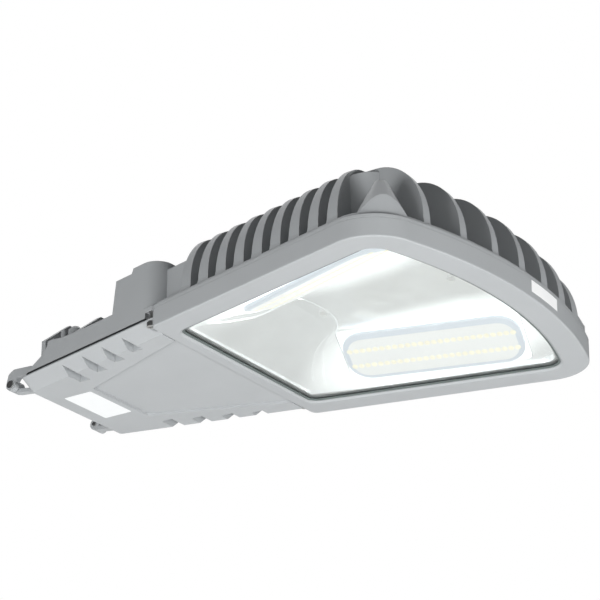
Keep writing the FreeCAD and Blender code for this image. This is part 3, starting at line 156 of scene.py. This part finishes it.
class StreetLightColours(bpy.types.PropertyGroup):
    """Colours of the finishes."""

    coat: colour_property("Powder coat", "Silver-grey polyester coat of the castings", "#A5A8AA")
    seal: colour_property("Rubber", "Black rubber of the seals and bushes", "#1C1F20")
    silicone: colour_property("Silicone", "Grey silicone round the glass", "#636C6A")
    sheet: colour_property("Reflector", "Bright aluminium of the reflector", "#F7F9F9")
    # The LED light, lens rim and lens face colours set emission: the LEDs' own light, and painted glow on the
    # lens covers, domes and rivets
    phosphor: colour_property("LED light", "Light of the LEDs through their domes", "#FDF9E2")
    rim: colour_property("Lens rim", "Thick pale blue rim of a lens cover", "#DFE7EF")
    face: colour_property("Lens face", "Lit face of a lens cover", "#F4F6F4")
    film: colour_property("Film", "White film of the bare plate and sticker", "#E9EBEC")


def add_node(tree, kind, settings=None, links=None):
    """Adds a node, sets its inputs or attributes, and links its inputs to other sockets."""
    node = tree.nodes.new(kind)
    for key, value in (settings or {}).items():
        if key in node.inputs.keys():
            node.inputs[key].default_value = value
        else:
            setattr(node, key, value)
    for key, source in (links or {}).items():
        tree.links.new(source, node.inputs[key])
    return node


def new_material(name):
    """An empty node material with its shader and output."""
    material = bpy.data.materials.new(name)
    material.use_nodes = True
    tree = material.node_tree
    tree.nodes.clear()
    shader = add_node(tree, "ShaderNodeBsdfPrincipled")
    add_node(tree, "ShaderNodeOutputMaterial", links={"Surface": shader.outputs["BSDF"]})
    return material, tree, shader


def object_point(tree, scale):
    """Object coordinates, multiplied so that 1 is one pattern length."""
    place = add_node(tree, "ShaderNodeTexCoord")
    return add_node(tree, "ShaderNodeMapping", {"Scale": (scale, scale, scale)},
                    {"Vector": place.outputs["Object"]}).outputs["Vector"]


def shade(colour, factor):
    """The same colour, darker or lighter."""
    return [min(channel * factor, 1.0) for channel in colour[:3]] + [1.0]


def two_tones(tree, shader, pattern, low, high):
    """Base colour that runs between two colours with a pattern."""
    mix = add_node(tree, "ShaderNodeMix", {"data_type": "RGBA"}, {"Factor": pattern.outputs["Fac"]})
    mix.inputs["A"].default_value = low
    mix.inputs["B"].default_value = high
    tree.links.new(mix.outputs["Result"], shader.inputs["Base Color"])


def noise(tree, length, detail=2.0):
    """Noise with features of about a length, fixed to the object."""
    return add_node(tree, "ShaderNodeTexNoise", {"Scale": 1.0, "Detail": detail},
                    {"Vector": object_point(tree, 1 / length)})


def powder_coat(name, colour, roughness=0.5):
    """Textured polyester powder coat on die-cast aluminium: a fine orange peel with soft highlights."""
    material, tree, shader = new_material(name)
    grain = noise(tree, 0.9 * MM, 3.0)  # the real texture is about 0.4 mm, too fine to show
    two_tones(tree, shader, noise(tree, 45 * MM), shade(colour, 0.96), shade(colour, 1.04))
    edge = add_node(tree, "ShaderNodeBevel", {"samples": 4, "Radius": 0.9 * MM})
    bump = add_node(tree, "ShaderNodeBump", {"Strength": 0.16, "Distance": 0.12 * MM},
                    {"Height": grain.outputs["Fac"], "Normal": edge.outputs["Normal"]})
    tree.links.new(bump.outputs["Normal"], shader.inputs["Normal"])
    span = add_node(tree, "ShaderNodeMapRange", {
        "From Min": 0.3, "From Max": 0.7, "To Min": roughness - 0.06, "To Max": roughness + 0.06},
        {"Value": grain.outputs["Fac"]})
    tree.links.new(span.outputs["Result"], shader.inputs["Roughness"])
    shader.inputs["Specular IOR Level"].default_value = 0.4
    return material


def seal_rubber(name, colour):
    """Extruded rubber or silicone: matt with a faint mottling."""
    material, tree, shader = new_material(name)
    two_tones(tree, shader, noise(tree, 2 * MM), shade(colour, 0.85), shade(colour, 1.15))
    shader.inputs["Roughness"].default_value = 0.7
    return material


def clear_glass():
    """Toughened soda-lime glass, float made: clear with a faint green cast at the edge."""
    material, tree, shader = new_material("soda_lime_glass_float")
    shader.inputs["Base Color"].default_value = linear("#FCFEFD")
    shader.inputs["Roughness"].default_value = 0.0
    shader.inputs["IOR"].default_value = 1.52
    shader.inputs["Transmission Weight"].default_value = 1.0
    return material


def vector_math(tree, operation, first, second=None):
    """A vector worked out from a socket and, where the operation needs it, a fixed vector."""
    step = add_node(tree, "ShaderNodeVectorMath", {"operation": operation})
    tree.links.new(first, step.inputs[0])
    if second is not None:
        step.inputs[1].default_value = second
    return step.outputs


def painted_glow_near_modules(tree, inner, outer, low, high):
    """A number that falls from high to low with the distance from the nearer LED module: the mask of the
    painted glow.
    """
    place = add_node(tree, "ShaderNodeTexCoord").outputs["Object"]
    mirrored = vector_math(tree, "ABSOLUTE", place)["Vector"]
    shifted = vector_math(tree, "SUBTRACT", mirrored, PAINTED_GLOW_MIDDLE)["Vector"]
    scaled = vector_math(tree, "DIVIDE", shifted, PAINTED_GLOW_HALF)["Vector"]
    distance = vector_math(tree, "LENGTH", scaled)["Value"]
    span = add_node(tree, "ShaderNodeMapRange", {
        "interpolation_type": "SMOOTHSTEP",
        "From Min": inner, "From Max": outer, "To Min": high, "To Max": low}, {"Value": distance})
    return span.outputs["Result"]


def reflector_sheet(colour):
    """Bright enhanced aluminium sheet, pressed: a soft near-white mirror, with a painted glow that fades away
    from the LED modules.
    """
    material, tree, shader = new_material("enhanced_aluminium_sheet_painted_glow")
    wave = noise(tree, 38 * MM, 1.0)
    two_tones(tree, shader, wave, shade(colour, 0.86), shade(colour, 1.0))
    bump = add_node(tree, "ShaderNodeBump", {"Strength": 0.7, "Distance": 4.0 * MM},
                    {"Height": wave.outputs["Fac"]})
    tree.links.new(bump.outputs["Normal"], shader.inputs["Normal"])
    shader.inputs["Metallic"].default_value = 0.9
    shader.inputs["Roughness"].default_value = 0.24
    # painted glow: emission strongest near the LED modules, weaker towards the reflector's ends
    shader.inputs["Emission Color"].default_value = linear("#F9FBFB")
    tree.links.new(painted_glow_near_modules(tree, 0.9, 1.6, 0.18, 0.72), shader.inputs["Emission Strength"])
    return material


def solder_mask():
    """White solder mask on an aluminium-core board: even, slightly glossy, with an even painted glow by
    emission.
    """
    material, tree, shader = new_material("white_solder_mask_painted_glow")
    two_tones(tree, shader, noise(tree, 6 * MM), linear("#F2F4F5"), linear("#F8F9FA"))
    shader.inputs["Roughness"].default_value = 0.35
    # painted glow: the board glows evenly by emission
    shader.inputs["Emission Color"].default_value = linear("#FFFFFF")
    shader.inputs["Emission Strength"].default_value = 0.95
    return material


def led_light_and_painted_glow(name, colour, strength):
    """Phosphor or plastic that glows by emission, with a faint mottling: the LEDs' own light on the phosphor,
    a painted glow on the plastic covers, domes and rivets.
    """
    material, tree, shader = new_material(name)
    two_tones(tree, shader, noise(tree, 3 * MM, 1.0), shade(colour, 0.34), shade(colour, 0.36))
    shader.inputs["Roughness"].default_value = 0.3
    # emission: painted glow on the plastic parts, the LEDs' own light on the phosphor
    shader.inputs["Emission Color"].default_value = shade(colour, 1.0)
    shader.inputs["Emission Strength"].default_value = strength
    return material


def bare_metal(name, low, high, roughness=0.28):
    """Uncoated, plated or anodised metal between two tones: fine mottling and small highlights."""
    material, tree, shader = new_material(name)
    two_tones(tree, shader, noise(tree, 0.8 * MM, 4.0), linear(low), linear(high))
    shader.inputs["Metallic"].default_value = 1.0
    shader.inputs["Roughness"].default_value = roughness
    return material


def moulded_plastic(name, low, high, roughness=0.45):
    """Injection-moulded plastic with a fine spark-eroded grain."""
    material, tree, shader = new_material(name)
    grain = noise(tree, 0.7 * MM, 3.0)
    two_tones(tree, shader, grain, linear(low), linear(high))
    bump = add_node(tree, "ShaderNodeBump", {"Strength": 0.1, "Distance": 0.1 * MM},
                    {"Height": grain.outputs["Fac"]})
    tree.links.new(bump.outputs["Normal"], shader.inputs["Normal"])
    shader.inputs["Roughness"].default_value = roughness
    return material


def white_film(name, colour):
    """White vinyl film with nothing on it: smooth and half matt."""
    material, tree, shader = new_material(name)
    two_tones(tree, shader, noise(tree, 12 * MM, 1.0), shade(colour, 0.98), shade(colour, 1.02))
    shader.inputs["Roughness"].default_value = 0.4
    return material


def dress(material, *names):
    """Gives a material to CAD nodes."""
    for name in names:
        mesh = nodes[name].data
        if len(mesh.materials) == 0:
            mesh.materials.append(material)
        for index in range(len(mesh.materials)):
            nodes[name].material_slots[index].link = "OBJECT"
            nodes[name].material_slots[index].material = material


def select_only(item):
    """Selects one object and makes it the active one."""
    bpy.ops.object.select_all(action="DESELECT")
    item.select_set(True)
    bpy.context.view_layer.objects.active = item


def finish_piece(piece, name, material, body):
    """Names a finished piece, applies its place and hangs it on its body's empty."""
    piece.name = name
    piece.data.name = name
    select_only(piece)
    bpy.ops.object.transform_apply(location=True, rotation=True, scale=True)
    piece.data.materials.clear()
    piece.data.materials.append(material)
    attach(piece, body)
    return piece


def film_rectangle(length, width, thickness, corner):
    """A thin sheet with rounded corners, flat at the origin, its underside at z = 0."""
    bpy.ops.object.select_all(action="DESELECT")
    bpy.ops.mesh.primitive_plane_add(size=1.0, location=(0, 0, 0))
    sheet = bpy.context.active_object
    sheet.scale = (length, width, 1)
    bpy.ops.object.transform_apply(location=False, rotation=False, scale=True)
    bpy.ops.object.mode_set(mode="EDIT")
    bpy.ops.mesh.select_all(action="SELECT")
    bpy.ops.mesh.bevel(offset=corner, segments=5, affect="VERTICES")
    bpy.ops.mesh.select_all(action="SELECT")
    bpy.ops.mesh.extrude_region_move(TRANSFORM_OT_translate={"value": (0, 0, thickness)})
    bpy.ops.mesh.select_all(action="SELECT")
    bpy.ops.mesh.normals_make_consistent(inside=False)
    bpy.ops.object.mode_set(mode="OBJECT")
    return sheet


def mesh_object(name, build):
    """An object whose mesh is filled by a function that takes a bmesh."""
    mesh = bpy.data.meshes.new(name)
    shape = bmesh.new()
    build(shape)
    bmesh.ops.recalc_face_normals(shape, faces=shape.faces)
    shape.to_mesh(mesh)
    shape.free()
    item = bpy.data.objects.new(name, mesh)
    bpy.context.scene.collection.objects.link(item)
    return item


def join_rings(shape, rings):
    """Faces between rings of as many vertices, and a face at each end."""
    for ring, following in zip(rings, rings[1:]):
        for index in range(len(ring)):
            after = (index + 1) % len(ring)
            shape.faces.new((ring[index], ring[after], following[after], following[index]))
    shape.faces.new(rings[0])
    shape.faces.new(rings[-1])


def curved_film(start, length, low, height, thickness):
    """A thin sheet that follows the frame's bowed front."""
    box_low, box_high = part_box("glass_frame")
    centre_x = box_high[0] - FRONT_RADIUS
    steps = 16
    inside = FRONT_RADIUS
    outside = FRONT_RADIUS + thickness
    section = ((inside, low), (inside, low + height), (outside, low + height), (outside, low))

    def build(shape):
        rings = []
        for step in range(steps + 1):
            angle = (start + length * step / steps) / FRONT_RADIUS
            ring = []
            for radius, level in section:
                ring.append(shape.verts.new((
                    centre_x + radius * math.cos(angle), radius * math.sin(angle), box_low[2] + level)))
            rings.append(ring)
        join_rings(shape, rings)

    return mesh_object("film", build)


def islands(mesh):
    """Centres of the separate solids in a mesh."""
    shape = bmesh.new()
    shape.from_mesh(mesh)
    bmesh.ops.remove_doubles(shape, verts=shape.verts, dist=0.01 * MM)
    seen = set()
    centres = []
    for start in shape.verts:
        if start in seen:
            continue
        seen.add(start)
        found = [start]
        for vert in found:
            for edge in vert.link_edges:
                other = edge.other_vert(vert)
                if other not in seen:
                    seen.add(other)
                    found.append(other)
        centres.append(sum((vert.co for vert in found), Vector()) / len(found))
    shape.free()
    return centres


def module_axes(side):
    """Middle of a board's LEDs, with the directions along it, across it and down out of it."""
    mesh = nodes["led_board_" + side].data
    down = max(mesh.polygons, key=lambda face: face.area).normal.copy()
    if down.z > 0:
        down.negate()
    places = islands(nodes["led_chips_" + side].data)
    middle = sum(places, Vector()) / len(places)
    nearest = min(places[1:], key=lambda place: (place - places[0]).length)
    along = (nearest - places[0]).normalized()
    if along.x < 0:
        along.negate()
    return places, middle, along, down.cross(along), down


def oval_cover(side, sizes, rings):
    """A cover with rounded ends from rings, each with its inset and its depth below the LEDs."""
    middle, along, across, down = module_axes(side)[1:]
    steps = 8

    def build(shape):
        loops = []
        for inset, depth in rings:
            radius = sizes.cover_corner - inset
            reach = sizes.cover_length / 2 - sizes.cover_corner
            half = sizes.cover_width / 2 - sizes.cover_corner
            loop = []
            for quarter, (end, edge) in enumerate(((1, 1), (-1, 1), (-1, -1), (1, -1))):
                for step in range(steps + 1):
                    angle = math.pi / 2 * (quarter + step / steps)
                    loop.append(shape.verts.new(
                        middle + along * (end * reach + radius * math.cos(angle))
                        + across * (edge * half + radius * math.sin(angle)) + down * depth))
            loops.append(loop)
        join_rings(shape, loops)

    cover = mesh_object("cover_" + side, build)
    select_only(cover)
    bpy.ops.object.shade_smooth_by_angle(angle=math.radians(35))
    return cover


def lens_domes(side, sizes):
    """One flat dome over each LED of a board."""
    places, middle, along, across, down = module_axes(side)
    turn = Matrix((along, across, down)).transposed().to_4x4()
    squash = Matrix.Diagonal((1, 1, sizes.dome_height / sizes.dome_radius, 1))

    def build(shape):
        for centre in places:
            place = Matrix.Translation(centre + down * sizes.cover_depth) @ turn @ squash
            bmesh.ops.create_uvsphere(
                shape, u_segments=14, v_segments=8, radius=sizes.dome_radius, matrix=place)

    domes = mesh_object("domes_" + side, build)
    select_only(domes)
    bpy.ops.object.shade_smooth()
    return domes


def pressed_bead(places, radius):
    """A fine bead that follows places on the underside of the reflector."""
    reflector = nodes["reflector"]
    points = []
    for x, y in places:
        found, point, normal, index = reflector.ray_cast(Vector((x * MM, y * MM, -1)), Vector((0, 0, 1)))
        points.append(point)
    curve = bpy.data.curves.new("bead", "CURVE")
    curve.dimensions = "3D"
    curve.bevel_depth = radius
    curve.bevel_resolution = 3
    curve.use_fill_caps = True
    spline = curve.splines.new("BEZIER")
    spline.bezier_points.add(len(points) - 1)
    for place, point in zip(spline.bezier_points, points):
        place.co = point
        place.handle_left_type = "AUTO"
        place.handle_right_type = "AUTO"
    bead = bpy.data.objects.new("bead", curve)
    bpy.context.scene.collection.objects.link(bead)
    select_only(bead)
    bpy.ops.object.convert(target="MESH")
    return bpy.context.active_object


class STREETLIGHT_OT_castings(bpy.types.Operator):
    """Powder coat on the housing, the frame and the gear cover"""

    bl_idname = "streetlight.castings"
    bl_label = "Castings"

    def execute(self, context):
        coat = context.scene.street_light_colours.coat
        dress(powder_coat("powder_coated_aluminium_die_cast", shade(coat, 0.96)), "housing")
        dress(powder_coat("powder_coated_frame_die_cast", coat), "glass_frame")
        dress(powder_coat("powder_coated_cover_die_cast", shade(coat, 1.02)), "gear_cover")
        return {"FINISHED"}


class STREETLIGHT_OT_seals(bpy.types.Operator):
    """Rubber seals and bushes"""

    bl_idname = "streetlight.seals"
    bl_label = "Seals"

    def execute(self, context):
        colours = context.scene.street_light_colours
        dress(seal_rubber("epdm_rubber_extruded", colours.seal),
              "housing_gasket", "cover_gasket", "cable_grommet", "wire_grommet")
        dress(seal_rubber("grey_silicone_extruded", colours.silicone), "glass_gasket")
        return {"FINISHED"}


class STREETLIGHT_OT_optics(bpy.types.Operator):
    """Glass, reflector, boards, LEDs, their covers and domes"""

    bl_idname = "streetlight.optics"
    bl_label = "Optics"

    def execute(self, context):
        sizes = context.scene.street_light_sizes
        colours = context.scene.street_light_colours
        dress(clear_glass(), "glass_pane")
        sheet = reflector_sheet(colours.sheet)
        dress(sheet, "reflector")
        beads = [[(x, side * y) for x, y in places] for side in (1, -1) for places in CORNER_BEADS]
        beads.append(CEILING_BEAD)
        for number, places in enumerate(beads, start=1):
            bead = pressed_bead(places, sizes.bead_radius)
            finish_piece(bead, f"reflector_bead_{number}", sheet, LAMP_BODY)
        # painted glow on the reflector's rivets, in the lens face colour
        dress(led_light_and_painted_glow("polyamide_rivet_painted_glow", colours.face, 0.45), "reflector_screws")
        dress(solder_mask(), "led_board_left", "led_board_right", "board_screws")
        dress(led_light_and_painted_glow("led_phosphor_lit", colours.phosphor, 1.2), "led_chips_left", "led_chips_right")
        # painted glow on the lens covers and the domes, standing in for the LEDs' light through them
        rim_glow = led_light_and_painted_glow("polycarbonate_rim_painted_glow", colours.rim, 0.74)
        face_glow = led_light_and_painted_glow("polycarbonate_face_painted_glow", colours.face, 0.82)
        dome_glow = led_light_and_painted_glow("silicone_dome_painted_glow", colours.phosphor, 0.86)
        rim = sizes.cover_rim
        depth = sizes.cover_depth
        for side in ("left", "right"):
            cover = oval_cover(side, sizes, (
                (0, 0.4 * MM), (0, 0.6 * depth), (0.3 * rim, 0.85 * depth), (rim, depth)))
            finish_piece(cover, "lens_cover_" + side, rim_glow, LAMP_BODY)
            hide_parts("led_lens_" + side, "lens_gasket_" + side)
            face = oval_cover(side, sizes, ((rim, depth), (rim, depth + 0.2 * MM)))
            finish_piece(face, "lens_face_" + side, face_glow, LAMP_BODY)
            finish_piece(lens_domes(side, sizes), "lens_domes_" + side, dome_glow, LAMP_BODY)
        return {"FINISHED"}


class STREETLIGHT_OT_fasteners(bpy.types.Operator):
    """Screws, pins, clamp and washers"""

    bl_idname = "streetlight.fasteners"
    bl_label = "Fasteners"

    def execute(self, context):
        # screws and pins: stainless steel, headed and rolled, a little warm in tone
        dress(bare_metal("stainless_steel_cold_headed", "#BDBDBB", "#CFCFCD"),
              "frame_screws", "driver_screws", "gear_screws",
              "cable_clamp_screws", "hinge_pins", "captive_screws", "screw_washers")
        # clamp: zinc-plated steel, duller and bluer
        dress(bare_metal("zinc_plated_steel_pressed", "#B4B7BA", "#C6C9CC", 0.36),
              "clamp_saddle", "clamp_washers", "clamp_bolts")
        dress(bare_metal("brass_turned", "#C9A85C", "#D6B76C"), "earth_screw")
        return {"FINISHED"}


class STREETLIGHT_OT_gear(bpy.types.Operator):
    """Driver, terminals and the other gear inside"""

    bl_idname = "streetlight.gear"
    bl_label = "Gear"

    def execute(self, context):
        dress(bare_metal("anodised_aluminium_pressed", "#9FA2A4", "#ADB0B2", 0.45), "led_driver")
        dress(moulded_plastic("polyamide_off_white_moulded", "#E2E1DB", "#E8E7E2"), "terminal_block")
        dress(moulded_plastic("polycarbonate_dark_grey_moulded", "#3A3D40", "#44474A"), "surge_protector")
        dress(moulded_plastic("polyamide_black_moulded", "#1C1D1E", "#262728"), "cable_clamp", "vent_plug")
        return {"FINISHED"}


class STREETLIGHT_OT_plates(bpy.types.Operator):
    """Bare white plate on the gear cover and bare sticker on the frame"""

    bl_idname = "streetlight.plates"
    bl_label = "Plates"

    def execute(self, context):
        sizes = context.scene.street_light_sizes
        colours = context.scene.street_light_colours
        film = white_film("white_vinyl_film", colours.film)
        # the sticker's film is a lighter copy of the plate's: painted light, since the sticker sits in shade
        bright = white_film("painted_light_white_vinyl_film", shade(colours.film, 1.2))
        pin_low, pin_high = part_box("hinge_pins")
        cover_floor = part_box("gear_cover")[0][2]
        plate = film_rectangle(sizes.plate_width, sizes.plate_length, sizes.film, sizes.plate_corner)
        plate.location = ((pin_low[0] + pin_high[0]) / 2 + sizes.plate_place, -sizes.plate_shift,
                          cover_floor - sizes.film)
        finish_piece(plate, "bare_plate", film, COVER_BODY)
        sticker = curved_film(sizes.sticker_start, sizes.sticker_length, sizes.sticker_level,
                              sizes.sticker_height, sizes.film)
        finish_piece(sticker, "bare_sticker", bright, LAMP_BODY)
        return {"FINISHED"}


class STREETLIGHT_OT_stage(bpy.types.Operator):
    """Floor, background, lamps and camera"""

    bl_idname = "streetlight.stage"
    bl_label = "Stage"

    def execute(self, context):
        make_floor()
        make_world()
        make_lamps()
        make_camera()
        context.scene.view_settings.view_transform = "Standard"
        return {"FINISHED"}


def make_floor():
    """A plain pale floor, far below the hanging lamp."""
    bpy.ops.object.select_all(action="DESELECT")
    bpy.ops.mesh.primitive_plane_add(size=FLOOR_SIDE, location=(0, 0, -FLOOR_DROP))
    floor = bpy.context.active_object
    floor.name = "floor"
    material, tree, shader = new_material("pale_floor_paint")
    shader.inputs["Base Color"].default_value = linear("#F7F7F6")
    shader.inputs["Roughness"].default_value = 0.8
    floor.data.materials.append(material)


def make_world():
    """White to the camera and through the glass, a faint grey light on the object."""
    world = bpy.data.worlds.new("studio")
    bpy.context.scene.world = world
    world.use_nodes = True
    tree = world.node_tree
    tree.nodes.clear()
    path = add_node(tree, "ShaderNodeLightPath")
    white = add_node(tree, "ShaderNodeBackground", {"Color": (1, 1, 1, 1), "Strength": 1.0})
    soft = add_node(tree, "ShaderNodeBackground", {"Color": (0.95, 0.97, 1, 1), "Strength": 0.07})
    first = add_node(tree, "ShaderNodeMath", {"operation": "MAXIMUM"})
    tree.links.new(path.outputs["Is Camera Ray"], first.inputs[0])
    tree.links.new(path.outputs["Is Transmission Ray"], first.inputs[1])
    mix = add_node(tree, "ShaderNodeMixShader")
    tree.links.new(first.outputs["Value"], mix.inputs["Fac"])
    tree.links.new(soft.outputs["Background"], mix.inputs[1])
    tree.links.new(white.outputs["Background"], mix.inputs[2])
    add_node(tree, "ShaderNodeOutputWorld", links={"Surface": mix.outputs["Shader"]})


def place_lamp(lamp, place, direction):
    """Puts a lamp in the scene, so that it shines along a direction."""
    item = bpy.data.objects.new(lamp.name, lamp)
    bpy.context.scene.collection.objects.link(item)
    item.location = place
    item.rotation_euler = Vector(direction).to_track_quat("-Z", "Y").to_euler()


def sky_light(direction, spread, strength):
    """Wide, soft daylight along a direction, spread over an angle in degrees."""
    lamp = bpy.data.lights.new("sky", "SUN")
    lamp.energy = strength
    lamp.angle = math.radians(spread)
    place_lamp(lamp, (0, 0, 0), direction)


def area_lamp(name, place, target, size, power):
    """A soft square lamp that points at a target."""
    lamp = bpy.data.lights.new(name, "AREA")
    lamp.shape = "SQUARE"
    lamp.size = size
    lamp.energy = power
    place_lamp(lamp, place, Vector(target) - Vector(place))


def make_lamps():
    """Even light from above, which the floor throws back up, and three lamps from below."""
    sky_light((0.25, -0.3, -1), 70, 1.8)
    area_lamp("key", (0.15, -1.8, -0.95), LAMP_TARGET, 0.9, 23)
    area_lamp("front", (1.95, -0.2, -1.05), LAMP_TARGET, 0.8, 28)
    area_lamp("fill", (-1.6, -1.0, -0.8), LAMP_TARGET, 1.0, 5)


def make_camera():
    """The camera at the photograph's angle, distance and framing."""
    data = bpy.data.cameras.new("camera")
    data.sensor_width = SENSOR_WIDTH
    data.lens = LENS
    data.clip_end = 50.0
    data.shift_x = -(AXIS_PIXEL[0] - PHOTO_SIDE / 2) / PHOTO_SIDE
    data.shift_y = (AXIS_PIXEL[1] - PHOTO_SIDE / 2) / PHOTO_SIDE
    back = Vector((math.sin(AZIMUTH) * math.cos(ELEVATION),
                   -math.cos(AZIMUTH) * math.cos(ELEVATION), math.sin(ELEVATION)))
    right = Vector((math.cos(AZIMUTH), math.sin(AZIMUTH), 0))
    up = back.cross(right)
    turned_right = right * math.cos(ROLL) + up * math.sin(ROLL)
    turned_up = up * math.cos(ROLL) - right * math.sin(ROLL)
    turn = Matrix((turned_right, turned_up, back)).transposed()
    camera = bpy.data.objects.new("camera", data)
    camera.matrix_world = Matrix.Translation(CAMERA_TARGET + back * CAMERA_DISTANCE) @ turn.to_4x4()
    bpy.context.scene.collection.objects.link(camera)
    bpy.context.scene.camera = camera


class STREETLIGHT_PT_panel(bpy.types.Panel):
    """Lists the steps in the sidebar"""

    bl_idname = "STREETLIGHT_PT_panel"
    bl_label = "Street light"
    bl_space_type = "VIEW_3D"
    bl_region_type = "UI"
    bl_category = "Street light"

    def draw(self, context):
        column = self.layout.column()
        for step in STEPS:
            column.operator(step.bl_idname)
        sizes = context.scene.street_light_sizes
        for name in sizes.__annotations__:
            column.prop(sizes, name)
        colours = context.scene.street_light_colours
        for name in colours.__annotations__:
            column.prop(colours, name)


STEPS = (
    STREETLIGHT_OT_castings,
    STREETLIGHT_OT_seals,
    STREETLIGHT_OT_optics,
    STREETLIGHT_OT_fasteners,
    STREETLIGHT_OT_gear,
    STREETLIGHT_OT_plates,
    STREETLIGHT_OT_stage,
)
CLASSES = (StreetLightSizes, StreetLightColours) + STEPS + (STREETLIGHT_PT_panel,)


def register():
    for item in CLASSES:
        bpy.utils.register_class(item)
    bpy.types.Scene.street_light_sizes = PointerProperty(type=StreetLightSizes)
    bpy.types.Scene.street_light_colours = PointerProperty(type=StreetLightColours)


def unregister():
    del bpy.types.Scene.street_light_colours
    del bpy.types.Scene.street_light_sizes
    for item in reversed(CLASSES):
        bpy.utils.unregister_class(item)


def main():
    register()
    for step in STEPS:
        group_name, step_name = step.bl_idname.split(".")
        getattr(getattr(bpy.ops, group_name), step_name)()


if __name__ == "__main__":
    main()
